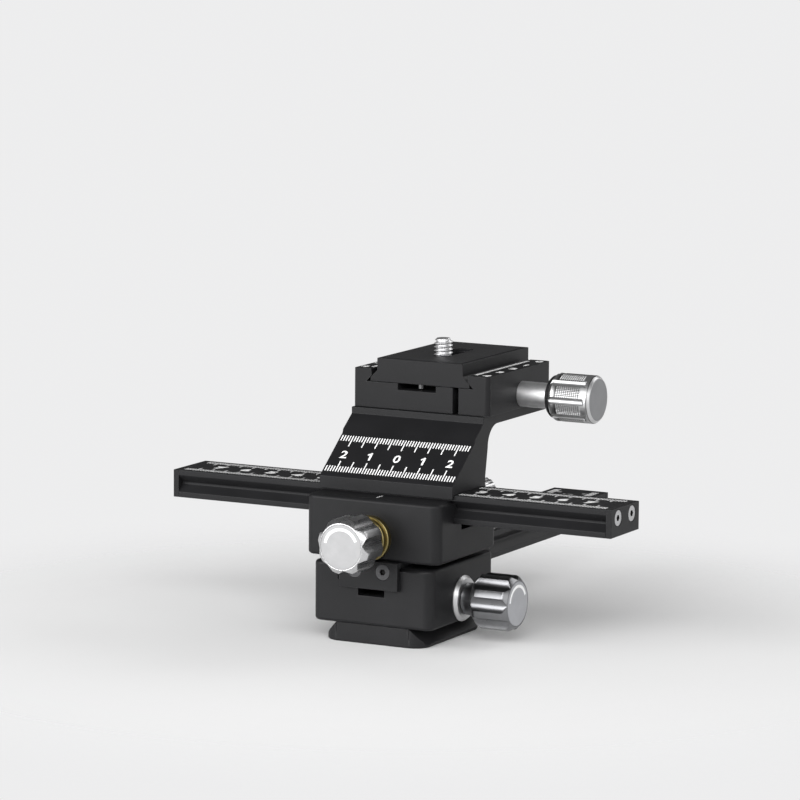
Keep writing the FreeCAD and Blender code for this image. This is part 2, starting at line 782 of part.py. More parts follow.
def clamp_body():
    left = [(-x, z) for x, z in lip_outline(clamp_left)]
    section = left + [(split_left, channel_floor_z), (split_left, clamp_base_z)]
    body = extrude_along_y(section, clamp_front_y, clamp_end_y)
    recess_floor = channel_floor_z - recess_depth
    for y0, y1 in ((clamp_front_y - overrun, clamp_front_y + recess_length),
                   (clamp_end_y - recess_length, clamp_end_y + overrun)):
        body = body.cut(box(-recess_left, recess_right, y0, y1, recess_floor, channel_floor_z + overrun))
    past_split = split_left + overrun
    thread = clamp_thread_radius + thread_clearance
    body = body.cut(rod_x(thread, -clamp_thread_left, past_split, jaw_axis_y, jaw_axis_z))
    for y in pin_places():
        body = body.cut(rod_x(guide_pin_radius, guide_pin_left, past_split, y, jaw_axis_z))
        pocket_floor = split_left - spring_pocket_depth
        body = body.cut(rod_x(spring_pocket_radius, pocket_floor, past_split, y, jaw_axis_z))
    return body.cut(Part.makeCompound(at_clamp_screws(clamp_screw_hole())))


def clamp_jaw():
    section = [(jaw_left, clamp_base_z)] + lip_outline(clamp_right) + [(jaw_left, channel_floor_z)]
    body = extrude_along_y(section, clamp_front_y, clamp_end_y)
    outer_edges = [e for e in edges_along(body, V(0, 0, 1)) if e.BoundBox.XMin > clamp_right - 0.01]
    body = body.makeFillet(clamp_corner_radius, outer_edges)
    start = jaw_left - overrun
    screw_bore = clamp_thread_radius + screw_clearance
    body = body.cut(rod_x(screw_bore, start, clamp_right + overrun, jaw_axis_y, jaw_axis_z))
    for y in pin_places():
        pin_bore = guide_pin_radius + shaft_clearance
        body = body.cut(rod_x(pin_bore, start, clamp_right - guide_pin_wall, y, jaw_axis_z))
        pocket_floor = jaw_left + spring_pocket_depth
        body = body.cut(rod_x(spring_pocket_radius, start, pocket_floor, y, jaw_axis_z))
    return body


def guide_pins():
    end = clamp_right - guide_pin_wall - end_gap
    return [rod_x(guide_pin_radius, guide_pin_left, end, y, jaw_axis_z) for y in pin_places()]


def jaw_springs():
    """Two opening springs round the guide pins, between the pockets' floors."""
    start = split_left - spring_pocket_depth + spring_wire_radius + seat_clearance
    end = jaw_left + spring_pocket_depth - spring_wire_radius - seat_clearance
    length = end - start
    helix = Part.makeHelix(length / spring_turns, length, spring_radius)
    wire_circle = Part.makeCircle(spring_wire_radius, V(spring_radius, 0, 0), V(0, 1, 0))
    coil = Part.Wire(helix.Edges).makePipeShell([Part.Wire([wire_circle])], True, True)
    coil = turned(coil, V(0, 1, 0), 90)
    return [placed(coil, 0, start, y, jaw_axis_z) for y in pin_places()]


def clamp_shaft():
    """Clamping screw: thread in the body, neck whose shoulder presses the jaw."""
    neck_start = clamp_right + seat_clearance
    neck_end = neck_start + neck_length
    outline = [(clamp_screw_end_gap - clamp_thread_left, clamp_thread_radius),
               (neck_start, clamp_thread_radius), (neck_start, neck_radius), (neck_end, neck_radius),
               (neck_end, clamp_thread_radius), (neck_end + clamp_screw_in_knob, clamp_thread_radius)]
    return placed(revolve_x(outline), 0, 0, jaw_axis_y, jaw_axis_z)


def clamp_knob_parts():
    """Dark ring, knob and grey cap at the end of the clamping screw."""
    ring_start = clamp_right + seat_clearance + neck_length
    start = ring_start + clamp_ring_length
    face = start + clamp_knob_length
    shaft_hole = rod_x(clamp_thread_radius + seat_clearance, 0, ring_start + clamp_screw_in_knob + end_gap)
    ring = revolve_x([(ring_start, clamp_ring_radius - clamp_ring_chamfer),
                      (ring_start + clamp_ring_chamfer, clamp_ring_radius), (start, clamp_ring_radius)])
    chamfer = clamp_knob_chamfer
    outline = [(start, clamp_knob_radius - chamfer), (start + chamfer, clamp_knob_radius),
               (face - chamfer, clamp_knob_radius), (face, clamp_knob_radius - chamfer)]
    knob = fluted(outline, clamp_knob_radius, knob_flutes, clamp_flute_radius, clamp_flute_depth,
                  clamp_knob_angle)
    knob = knob.cut(rod_x(clamp_cap_radius, face - knob_cap_thickness, face + overrun))
    cap = rod_x(clamp_cap_radius, face - knob_cap_thickness, face)
    pieces = [ring.cut(shaft_hole), knob.cut(shaft_hole), cap]
    return [placed(piece, 0, 0, jaw_axis_y, jaw_axis_z) for piece in pieces]


# ---------------------------------------------------------- quick-release plate
def slot(half, y0, y1, z0, z1):
    """Round-ended slot along Y, its end centres at y0 and y1."""
    shape = box(-half, half, y0, y1, z0, z1)
    return shape.fuse([rod_z(half, z0, z1, 0, y0), rod_z(half, z0, z1, 0, y1)])


def slot_span():
    return plate_centre_y - slot_travel / 2, plate_centre_y + slot_travel / 2


def plate():
    slope_top = plate_base_z + plate_land + plate_land_half - plate_top_half
    right = [(plate_land_half, plate_base_z), (plate_land_half, plate_base_z + plate_land),
             (plate_top_half, slope_top), (plate_top_half, plate_top_z)]
    section = right + [(-x, z) for x, z in reversed(right)]
    body = extrude_along_y(section, plate_front_y, plate_end_y)
    inset = plate_top_half - pad_border
    body = body.cut(box(-inset, inset, plate_front_y + pad_border, plate_end_y - pad_border,
                        plate_top_z - pad_depth, plate_top_z + overrun))
    y0, y1 = slot_span()
    body = body.cut(slot(slot_half, y0, y1, plate_base_z - overrun, plate_top_z))
    body = body.cut(slot(screw_slot_half, y0, y1, plate_base_z - overrun, plate_base_z + screw_slot_depth))
    pin_top = plate_base_z + stop_pin_seat
    for y in stop_pin_places():
        body = body.cut(rod_z(stop_pin_radius, plate_base_z - overrun, pin_top, stop_pin_x, y))
    return body


def pad():
    inset = plate_top_half - pad_border
    body = box(-inset, inset, plate_front_y + pad_border, plate_end_y - pad_border,
               plate_top_z - pad_depth, plate_top_z + pad_proud)
    y0, y1 = slot_span()
    return body.cut(slot(slot_half, y0, y1, plate_base_z, plate_top_z + overrun))


def stop_pin_places():
    return [plate_front_y + stop_pin_inset, plate_end_y - stop_pin_inset]


def stop_pins():
    bottom = plate_base_z - stop_pin_drop
    top = plate_base_z + stop_pin_seat
    return [rod_z(stop_pin_radius, bottom, top, stop_pin_x, y) for y in stop_pin_places()]


def screw_washer():
    y = slot_span()[0]
    top = plate_base_z + screw_slot_depth - seat_clearance
    ring = rod_z(washer_radius, top - washer_thickness, top, 0, y)
    return ring.cut(rod_z(camera_screw_radius, top - washer_thickness - overrun, top + overrun, 0, y))


def camera_screw():
    y = slot_span()[0]
    head_top = plate_base_z + screw_slot_depth - 2 * seat_clearance - washer_thickness
    head_bottom = head_top - camera_head_height
    shank_top = plate_top_z + pad_proud + camera_screw_stick_out
    thread_start = plate_top_z + pad_proud
    head = rod_z(camera_head_radius, head_bottom, head_top, 0, y)
    shank = rod_z(camera_screw_radius - camera_screw_relief, head_bottom, thread_start, 0, y)
    thread = rod_z(camera_screw_radius, thread_start, shank_top, 0, y)
    half = camera_coin_slot / 2
    coin_slot = box(-half, half, y - camera_head_radius - overrun, y + camera_head_radius + overrun,
                    head_bottom - overrun, head_bottom + camera_coin_depth)
    return head.fuse([shank, thread]).cut(coin_slot)


# ------------------------------------------------------------ write every node
# base: foot and lower block
foot_screws = at_foot_screws(countersunk_screw(m4, foot_screw_length))
lower_block = in_lower(block(lower_block_across, lower_block_along))
lower_block = lower_block.cut(Part.makeCompound(at_foot_screws(foot_screw_hole())))
save("arca_foot", foot())
save("foot_screws", foot_screws)
save("lower_block", lower_block)
save("lower_bushes", [in_lower(b) for b in bushes()])
save("lower_gib", in_lower(gib(lower_block_along)))
save("lower_gib_screws", [in_lower(s) for s in gib_screws()])
save("lower_knob_flange", in_lower(chrome_flange(lower_block_across)))

# lower drive knob and its pinion
lower_knob_pieces = drive_knob(lower_block_across, lower_knob_reach, flange_length, lower_knob_angle)
for name, piece in zip(("lower_knob", "lower_knob_cap", "lower_knob_set_screw"), lower_knob_pieces):
    save(name, in_lower(piece))
save("lower_pinion", in_lower(pinion()))
save("lower_knob_shaft", in_lower(knob_shaft(lower_block_across, lower_knob_reach)))

# lower lock
for name, piece in zip(("lower_lock_stud", "lower_lock_knob"), lock_knob(lower_block_across)):
    save(name, in_lower(piece))

# lower rail, which carries the upper block
block_screws = at_block_screws(countersunk_screw(m3, block_screw_length))
block_screw_holes = Part.makeCompound(at_block_screws(block_screw_hole()))
# A gap of the rack must lie over the pinion, which sets the rack along its rail.
rack_centre = gear_pitch * round(lower_rail_centre_y / gear_pitch) - lower_rail_centre_y
save("lower_rail", on_lower_rail(rail_bar(rack_centre)).cut(block_screw_holes))
save("lower_rack", on_lower_rail(placed(rack(), y=rack_centre)))
save("lower_end_plates", [on_lower_rail(p) for p in end_plates()])
save("lower_end_plate_screws", [on_lower_rail(s) for s in end_plate_screws()])
save("block_screws", block_screws)

# upper block and what it holds
upper_block = in_upper(block(upper_block_across, upper_block_along)).cut(block_screw_holes)
save("upper_block", upper_block)
save("upper_bushes", [in_upper(b) for b in bushes()])
save("upper_gib", in_upper(gib(upper_block_along)))
save("upper_gib_screws", [in_upper(s) for s in gib_screws()])
save("upper_knob_collar", in_upper(brass_collar(upper_block_across)))
upper_knob_pieces = drive_knob(upper_block_across, upper_knob_reach, collar_length, upper_knob_angle)
for name, piece in zip(("upper_knob", "upper_knob_cap", "upper_knob_set_screw"), upper_knob_pieces):
    save(name, in_upper(piece))
save("upper_pinion", in_upper(pinion()))
save("upper_knob_shaft", in_upper(knob_shaft(upper_block_across, upper_knob_reach)))
for name, piece in zip(("upper_lock_stud", "upper_lock_knob"), lock_knob(upper_block_across)):
    save(name, in_upper(piece))

# upper rail with the bracket
bracket_screws = at_bracket_screws(countersunk_screw(m3, bracket_screw_length))
bracket_screw_holes = Part.makeCompound([in_cross(h) for h in at_bracket_screws(bracket_screw_hole())])
save("upper_rail", in_upper(rail_bar(0)).cut(bracket_screw_holes))
save("upper_rack", in_upper(rack()))
save("upper_end_plates", [in_upper(p) for p in end_plates()])
save("upper_end_plate_screws", [in_upper(s) for s in end_plate_screws()])
save("scale_bracket", in_cross(bracket()))
save("bracket_screws", [in_cross(s) for s in bracket_screws])

# clamp on the bracket
clamp_screws = at_clamp_screws(countersunk_screw(m3, clamp_screw_length))
save("clamp_body", in_cross(clamp_body()))
save("clamp_body_screws", [in_cross(s) for s in clamp_screws])
save("jaw_guide_pins", [in_cross(p) for p in guide_pins()])
save("jaw_springs", [in_cross(s) for s in jaw_springs()])
save("clamp_jaw", in_cross(clamp_jaw()))
save("clamp_shaft", in_cross(clamp_shaft()))
for name, piece in zip(("clamp_knob_ring", "clamp_knob", "clamp_knob_cap"), clamp_knob_parts()):
    save(name, in_cross(piece))

# quick-release plate
save("quick_release_plate", in_cross(plate()))
save("plate_pad", in_cross(pad()))
save("plate_stop_pins", [in_cross(p) for p in stop_pins()])
save("camera_screw_washer", in_cross(screw_washer()))
save("camera_screw", in_cross(camera_screw()))
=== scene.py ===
"""Looks of a two-stage macro focusing rail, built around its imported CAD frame.

Metres, in the frame's own axes: +Z up, +Y along the lower rail, +X along the
upper rail. Each piece is made in place, and rides on the body that carries it.
"""

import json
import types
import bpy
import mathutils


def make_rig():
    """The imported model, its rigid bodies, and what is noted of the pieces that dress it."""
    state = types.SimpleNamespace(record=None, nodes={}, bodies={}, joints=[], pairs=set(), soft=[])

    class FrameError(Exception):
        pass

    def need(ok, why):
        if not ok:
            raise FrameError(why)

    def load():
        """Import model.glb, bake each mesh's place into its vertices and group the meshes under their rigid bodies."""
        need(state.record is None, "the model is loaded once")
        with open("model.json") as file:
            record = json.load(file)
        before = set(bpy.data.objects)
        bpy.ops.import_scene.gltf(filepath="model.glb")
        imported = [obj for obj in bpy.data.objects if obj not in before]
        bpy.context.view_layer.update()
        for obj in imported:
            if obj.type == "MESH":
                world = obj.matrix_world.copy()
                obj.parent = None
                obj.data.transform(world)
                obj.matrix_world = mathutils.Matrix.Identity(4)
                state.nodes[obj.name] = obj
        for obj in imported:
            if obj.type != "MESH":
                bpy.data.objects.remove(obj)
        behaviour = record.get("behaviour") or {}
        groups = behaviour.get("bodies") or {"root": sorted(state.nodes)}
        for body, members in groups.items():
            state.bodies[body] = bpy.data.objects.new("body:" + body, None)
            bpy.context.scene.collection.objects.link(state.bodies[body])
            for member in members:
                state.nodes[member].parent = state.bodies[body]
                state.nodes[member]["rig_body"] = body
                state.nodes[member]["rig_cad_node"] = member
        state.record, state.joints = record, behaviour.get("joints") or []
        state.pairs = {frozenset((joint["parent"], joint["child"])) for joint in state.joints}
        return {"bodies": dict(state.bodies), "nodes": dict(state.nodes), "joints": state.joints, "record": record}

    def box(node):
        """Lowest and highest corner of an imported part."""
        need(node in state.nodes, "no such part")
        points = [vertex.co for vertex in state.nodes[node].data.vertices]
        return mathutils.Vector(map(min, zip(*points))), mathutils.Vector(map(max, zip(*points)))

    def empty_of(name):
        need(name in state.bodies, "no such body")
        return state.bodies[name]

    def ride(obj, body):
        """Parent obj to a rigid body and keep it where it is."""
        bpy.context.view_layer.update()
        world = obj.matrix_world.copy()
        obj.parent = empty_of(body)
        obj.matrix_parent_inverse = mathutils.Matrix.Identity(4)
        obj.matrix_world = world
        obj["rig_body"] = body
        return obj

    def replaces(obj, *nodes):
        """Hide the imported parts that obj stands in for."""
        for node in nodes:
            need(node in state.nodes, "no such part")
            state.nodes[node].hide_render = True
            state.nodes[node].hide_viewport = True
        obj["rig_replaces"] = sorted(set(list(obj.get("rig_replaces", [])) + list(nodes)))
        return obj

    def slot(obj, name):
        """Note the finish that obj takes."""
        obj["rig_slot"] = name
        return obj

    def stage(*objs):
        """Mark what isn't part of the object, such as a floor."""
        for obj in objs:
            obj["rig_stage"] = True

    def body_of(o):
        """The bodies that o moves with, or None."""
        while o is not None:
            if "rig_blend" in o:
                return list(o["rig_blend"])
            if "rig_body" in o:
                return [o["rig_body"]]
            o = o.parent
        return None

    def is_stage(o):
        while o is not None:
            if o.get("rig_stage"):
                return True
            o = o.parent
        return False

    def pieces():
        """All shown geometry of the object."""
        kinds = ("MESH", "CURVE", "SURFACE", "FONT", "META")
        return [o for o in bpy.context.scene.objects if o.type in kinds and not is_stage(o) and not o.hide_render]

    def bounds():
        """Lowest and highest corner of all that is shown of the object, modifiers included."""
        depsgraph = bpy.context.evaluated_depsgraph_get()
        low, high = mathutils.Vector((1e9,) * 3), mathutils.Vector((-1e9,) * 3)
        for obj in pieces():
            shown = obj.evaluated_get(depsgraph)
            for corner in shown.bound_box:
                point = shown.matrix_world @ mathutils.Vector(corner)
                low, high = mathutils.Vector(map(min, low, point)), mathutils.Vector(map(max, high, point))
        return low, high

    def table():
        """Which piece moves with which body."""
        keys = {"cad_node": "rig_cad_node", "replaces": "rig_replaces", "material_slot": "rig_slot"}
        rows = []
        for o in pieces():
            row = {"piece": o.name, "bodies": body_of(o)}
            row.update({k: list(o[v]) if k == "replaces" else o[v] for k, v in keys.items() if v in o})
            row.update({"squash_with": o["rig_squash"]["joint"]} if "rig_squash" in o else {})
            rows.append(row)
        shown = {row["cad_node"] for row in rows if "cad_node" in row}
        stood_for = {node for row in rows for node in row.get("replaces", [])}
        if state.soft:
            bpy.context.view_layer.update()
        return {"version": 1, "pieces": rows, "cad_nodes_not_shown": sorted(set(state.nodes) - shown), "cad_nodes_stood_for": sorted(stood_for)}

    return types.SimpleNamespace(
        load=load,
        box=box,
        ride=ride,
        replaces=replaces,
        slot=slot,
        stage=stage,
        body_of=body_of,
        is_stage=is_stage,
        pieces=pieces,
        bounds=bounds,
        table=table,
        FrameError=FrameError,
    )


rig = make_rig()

bl_info = {
    "name": "Macro Focusing Rail",
    "version": (1, 0, 0),
    "blender": (4, 5, 0),
    "location": "View3D > Sidebar > Focusing Rail",
    "description": "Makes the knobs, scales, screw thread and finishes of a two-stage focusing rail",
    "category": "Object",
}

import json
import math

import bmesh
import bpy
from mathutils import Matrix, Vector

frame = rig.load()
cad_low, cad_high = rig.bounds()

MM = 0.001
SAME_POINT = 0.0005 * MM
SEAM = 0.0002 * MM              # between the ends of a full turn
ON_AXIS = 0.001 * MM
LEAST_HALF_FLUTE = 0.02         # radians; keeps the rays apart where a flute has run out
NODES = frame["nodes"]
RECORD = frame["record"]
BODY_OF = {node: body for body, members in RECORD["behaviour"]["bodies"].items() for node in members}
SLOT_OF = {entry["node"]: entry["material_slot"] for entry in RECORD["subparts"]}


# ---------- settings
def length(name, description, millimetres):
    return bpy.props.FloatProperty(name=name, description=description, default=millimetres * MM,
                                   min=0.0, precision=5, subtype="DISTANCE", unit="LENGTH")


def colour(name, description, value):
    return bpy.props.FloatVectorProperty(name=name, description=description, default=value, size=3,
                                         min=0.0, max=1.0, subtype="COLOR")


def angle(name, description, degrees):
    return bpy.props.FloatProperty(name=name, description=description, default=math.radians(degrees),
                                   subtype="ANGLE", unit="ROTATION")


def number(name, description, value):
    return bpy.props.FloatProperty(name=name, description=description, default=value, min=0.0)


def count(name, description, value):
    return bpy.props.IntProperty(name=name, description=description, default=value, min=1)


class KnobSizes(bpy.types.PropertyGroup):
    radius: length("Drive knob radius", "Outer radius of the two drive knobs", 9.5)
    grip_length: length("Drive knob length", "Length of the fluted part of a drive knob", 14.4)
    face_chamfer: length("Face chamfer", "Chamfer round a drive knob's face", 1.65)
    back_chamfer: length("Back chamfer", "Chamfer round a drive knob's back", 2.2)
    neck_radius: length("Neck radius", "Radius of the neck behind a drive knob", 5.4)
    cap_radius: length("Cap radius", "Radius of the cap in a drive knob's face", 7.5)
    cap_depth: length("Cap depth", "Thickness of the cap of a knob", 0.9)
    flutes: count("Flutes", "Number of flutes round each knob", 8)
    cutter_radius: length("Flute cutter radius", "Radius of a drive knob's flutes", 3.1)
    flute_depth: length("Flute depth", "How deep a drive knob's flutes are", 1.5)
    lower_angle: angle("Lower knob angle", "Where the lower knob's first flute stands", 42.5)
    upper_angle: angle("Upper knob angle", "Where the upper knob's first flute stands", 96.0)
    arc_radius: length("Arc radius", "Middle radius of the white arc on a knob's face", 5.9)
    arc_width: length("Arc width", "Width of the white arc on a knob's face", 1.0)
    arc_angle: angle("Arc angle", "Angle that the white arc covers", 148.0)
    arc_lean: angle("Arc lean", "How far the arc's middle leans from the top", 6.0)
    clamp_radius: length("Clamp knob radius", "Outer radius of the clamp's knob", 8.2)
    clamp_length: length("Clamp knob length", "Length of the clamp's knob", 15.8)
    clamp_back_chamfer: length("Clamp back chamfer", "Chamfer round the clamp knob's back", 1.4)
    clamp_face_chamfer: length("Clamp face chamfer", "Chamfer round the clamp knob's face", 0.95)
    clamp_cap_radius: length("Clamp cap radius", "Radius of the cap in the clamp knob's face", 7.05)
    clamp_cutter_radius: length("Clamp flute cutter", "Radius of the clamp knob's flutes", 1.45)
    clamp_flute_depth: length("Clamp flute depth", "How deep the clamp knob's flutes are", 0.8)
    clamp_flute_end: length("Clamp flute end", "From the clamp knob's face to its flutes' end", 2.0)
    clamp_flute_runout: length("Clamp flute run-out", "Over which a clamp knob's flute rises to its end", 0.6)
    clamp_angle: angle("Clamp knob angle", "Where the clamp knob's first flute stands", 0.6)
    knurl_depth: length("Knurl depth", "Depth of the clamp knob's knurling", 0.16)
    knurl_start: length("Knurl start", "Start of the knurled panels, from the knob's back", 3.4)
    knurl_end: length("Knurl end", "End of the knurled panels, from the knob's back", 12.6)
    knurl_along: count("Knurl rows", "Knurl cells along a panel", 12)
    knurl_across: count("Knurl columns", "Knurl cells across a panel", 7)
    edge: length("Edge break", "Width of the broken edges of a knob", 0.14)


class ScaleSizes(bpy.types.PropertyGroup):
    pitch: length("Division", "Distance between two ticks", 1.0)
    tick_width: length("Tick width", "Width of a tick on the rails and the bracket", 0.41)
    fine_tick_width: length("Fine tick width", "Width of a tick on the clamp", 0.5)
    paint: length("Paint thickness", "How far the paint stands above the metal", 0.03)
    rail_short: length("Short tick", "Length of a one-millimetre tick on a rail", 2.6)
    rail_long: length("Long tick", "Length of a five-millimetre tick on a rail", 4.8)
    rail_inset: length("Tick inset", "From a rail's edge to the start of its ticks", 2.0)
    rail_digit: length("Rail digits", "Height of the digits on a rail", 4.3)
    slope_short: length("Short slope tick", "Length of a one-millimetre tick on the bracket", 2.5)
    slope_long: length("Long slope tick", "Length of a five-millimetre tick on the bracket", 4.9)
    slope_inset: length("Slope inset", "From the slope's lower edge to its first ticks", 2.3)
    slope_height: length("Slope scale height", "From the slope's lower edge to its last ticks", 18.95)
    slope_digit: length("Slope digits", "Height of the digits on the bracket", 3.4)
    clamp_digit: length("Clamp digits", "Height of the digits on the clamp", 3.1)


class FinishColours(bpy.types.PropertyGroup):
    black: colour("Black anodising", "Colour of the anodised bodies", (0.0115, 0.0115, 0.0125))
    # lighter edge colour: a painted highlight along the anodised edges, with a little wear
    black_worn: colour("Edge wear and highlight", "Colour of the anodising's edges, worn and with a painted highlight", (0.12, 0.12, 0.125))
    silver: colour("Silver aluminium", "Colour of the turned aluminium knobs", (0.62, 0.62, 0.625))
    upper_cap: colour("Upper knob cap", "Colour of the cap in the upper knob", (0.39, 0.39, 0.395))
    lower_cap: colour("Lower knob cap", "Colour of the cap in the lower knob", (0.38, 0.385, 0.405))
    clamp_cap: colour("Clamp knob cap", "Colour of the cap in the clamp's knob", (0.26, 0.262, 0.27))
    chrome: colour("Chrome", "Colour of the plated knob", (0.22, 0.222, 0.23))
    brass: colour("Brass", "Colour of the bearing collar and bushes", (0.27, 0.22, 0.095))
    steel: colour("Steel", "Colour of bare steel", (0.70, 0.70, 0.71))
    black_steel: colour("Black steel", "Colour of black-oxide screws", (0.07, 0.07, 0.074))
    acetal: colour("Acetal", "Colour of the gib strips", (0.025, 0.025, 0.026))
    rubber: colour("Rubber", "Colour of the plate's pad", (0.014, 0.014, 0.015))
    paint: colour("White paint", "Colour of the scales", (0.93, 0.93, 0.93))
    floor: colour("Floor", "Colour of the floor", (0.88, 0.88, 0.88))
    background: colour("Background", "Colour behind the floor", (0.85, 0.85, 0.855))


class StudioSettings(bpy.types.PropertyGroup):
    azimuth: angle("Camera azimuth", "Direction of the camera round the object", 27.5637)
    elevation: angle("Camera elevation", "Height of the camera above the horizon", 8.3903)
    roll: angle("Camera roll", "Turn of the camera about its own axis", 0.4281)
    distance: length("Camera distance", "From the camera to the point it looks at", 1492.97)
    focal: length("Focal length", "Lens, for a 36 mm sensor", 200.87)
    front_light: number("Front light", "Power of the soft light at the front left, in watts", 27.0)
    side_light: number("Side light", "Power of the soft light at the right, in watts", 5.0)
    corner_light: number("Corner light", "Power of the small soft light beside the camera, in watts", 9.0)
    back_light: number("Back light", "Power of the weak soft light behind the object, in watts", 6.0)
    ambient: number("Ambient", "Strength of the even light from all round", 0.23)
    zenith: number("Zenith", "Brightness of the background overhead, as metal shows it", 0.12)
    fade_start: length("Fade start", "Where the floor starts to fade into the background", 60.0)
    fade_end: length("Fade end", "Where the floor has faded into the background", 250.0)


# ---------- finishes
class Nodes:
    """Short ways to add and join the nodes of a tree."""

    def __init__(self, tree):
        self.tree = tree

    def link(self, value, socket):
        """Join a socket to another one, or write a number, a vector or a colour in it."""
        if isinstance(value, bpy.types.NodeSocket):
            self.tree.links.new(value, socket)
        elif socket.type == "RGBA":
            socket.default_value = (*value, 1.0)
        else:
            socket.default_value = value

    def add(self, kind, values=(), **settings):
        """Add a node; values pairs its inputs with what goes in them."""
        node = self.tree.nodes.new("ShaderNode" + kind)
        for key, value in settings.items():
            setattr(node, key, value)
        for key, value in dict(values).items():
            self.link(value, node.inputs[key])
        return node

    def total(self, first, second, operation="ADD"):
        return self.add("Math", {0: first, 1: second}, operation=operation).outputs[0]

    def span(self, fac, low, high, at_low, at_high, curve="LINEAR"):
        """Number that runs from at_low to at_high while fac runs from low to high."""
        values = {"Value": fac, "From Min": low, "From Max": high, "To Min": at_low, "To Max": at_high}
        return self.add("MapRange", values, interpolation_type=curve).outputs[0]


class Surface(Nodes):
    """Node tree of one finish, with its shader and its patterns."""

    def __init__(self, name, base, metallic, roughness, specular=None):
        self.material = bpy.data.materials.new(name)
        self.material.use_nodes = True
        self.material.diffuse_color = (*base, 1.0)
        super().__init__(self.material.node_tree)
        self.shader = self.tree.nodes["Principled BSDF"]
        self.set("Base Color", base)
        self.set("Metallic", metallic)
        self.set("Roughness", roughness)
        if specular is not None:
            self.set("Specular IOR Level", specular)
        self.place = self.add("TexCoord").outputs["Object"]

    def set(self, name, value):
        self.link(value, self.shader.inputs[name])

    def noise(self, size, detail=3.0, roughness=0.55):
        """Cloudy pattern from 0 to 1; size is the width of one patch in metres."""
        values = {"Vector": self.place, "Scale": 1.0 / size, "Detail": detail, "Roughness": roughness}
        return self.add("TexNoise", values).outputs[0]

    def centred(self, centre):
        """Object coordinates measured from centre."""
        return self.add("Mapping", {"Vector": self.place, "Location": [-v for v in centre]}).outputs[0]

    def vector(self, operation, first, *second):
        values = dict(enumerate((first, *second)))
        return self.add("VectorMath", values, operation=operation).outputs

    def blend(self, fac, first, second):
        """Colour between two others."""
        node = self.add("Mix", {0: fac, 6: first, 7: second}, data_type="RGBA")
        return node.outputs[2]

    def two_tone(self, fac, first, second):
        self.set("Base Color", self.blend(fac, first, second))

    # edge mask: on the anodising it carries a painted highlight as well as wear, on the black screws only wear
    def worn_edges(self, width):
        """1 on sharp edges and 0 on flat faces."""
        rounded_normal = self.add("Bevel", {"Radius": width}, samples=4).outputs[0]
        flat_normal = self.add("NewGeometry").outputs["Normal"]
        agreement = self.vector("DOT_PRODUCT", rounded_normal, flat_normal)["Value"]
        return self.span(agreement, 0.82, 0.99, 1.0, 0.0)

    def bump(self, height, depth, strength):
        values = {"Height": height, "Distance": depth, "Strength": strength}
        self.set("Normal", self.add("Bump", values).outputs[0])

    def rings(self, centre, axis, pitch):
        """Turning marks: fine rings about an axis through centre."""
        values = {"Vector": self.centred(centre), "Scale": RINGS_PER_SCALE / pitch, "Distortion": 0.35,
                  "Detail": 2.0, "Detail Scale": 1.4}
        return self.add("TexWave", values, wave_type="RINGS", rings_direction=axis).outputs[1]


RINGS_PER_SCALE = 0.3142        # wave texture: scale times pitch of its rings
FINE_RINGS = 0.00016            # pitch of the turning marks on knobs
COARSE_RINGS = 0.00018          # and on the small turned parts


def shade(tint, share):
    return tuple(share * v for v in tint)


def anodised_black(tints):
    """Bead-blasted aluminium, anodised satin black, with a painted highlight and a little wear along its edges."""
    s = Surface("anodised_black", tints.black, 0.0, 0.55, specular=0.2)
    grain, cloud = s.noise(0.00022, 2.0), s.noise(0.016, 4.0)
    # painted highlight: sharp edges are made lighter, as where light catches them, with a little wear mixed in
    edge_wear_and_highlight = s.total(s.worn_edges(0.00028), s.span(s.noise(0.003, 5.0), 0.38, 0.7, 0.0, 0.85), "MULTIPLY")
    body = s.blend(s.span(cloud, 0.35, 0.65, 0.0, 1.0), shade(tints.black, 0.82), tints.black)
    s.two_tone(edge_wear_and_highlight, body, tints.black_worn)
    s.set("Roughness", s.total(s.span(grain, 0.3, 0.7, 0.43, 0.51), s.span(cloud, 0.3, 0.7, -0.03, 0.03)))
    s.bump(grain, 0.000012, 0.6)
    return s.material


def turned_metal(name, base, metallic, rough, centre, axis, pitch, depth):
    """Metal from a lathe: fine rings about the piece's own axis, and faint handling marks."""
    s = Surface(name, base, metallic, rough[0])
    rings, smudge = s.rings(centre, axis, pitch), s.noise(0.0045, 4.0)
    s.two_tone(s.span(smudge, 0.35, 0.65, 0.0, 1.0), shade(base, 0.90), base)
    s.set("Roughness", s.total(s.span(rings, 0.0, 1.0, *rough), s.span(smudge, 0.3, 0.7, -0.02, 0.03)))
    s.bump(rings, depth, 0.7)
    return s.material


def knob_metal(node, base, rough, centre, axis):
    return turned_metal(node + "_metal", base, 1.0, rough, centre, axis, FINE_RINGS, 0.000003)


def small_turned_metal(node, name, base, rough, axis):
    """Bare turned metal of a small CAD part, about the middle of the part."""
    return turned_metal(name, base, 1.0, rough, middle_of(node), axis, COARSE_RINGS, 0.000004)


def milled_steel(tints):
    """Bare steel with a fine, slightly uneven ground surface."""
    s = Surface("milled_steel", tints.steel, 1.0, 0.42)
    grain, cloud = s.noise(0.0003), s.noise(0.004)
    s.two_tone(cloud, shade(tints.steel, 0.85), tints.steel)
    s.set("Roughness", s.span(grain, 0.3, 0.7, 0.36, 0.48))
    s.bump(grain, 0.000008, 0.5)
    return s.material


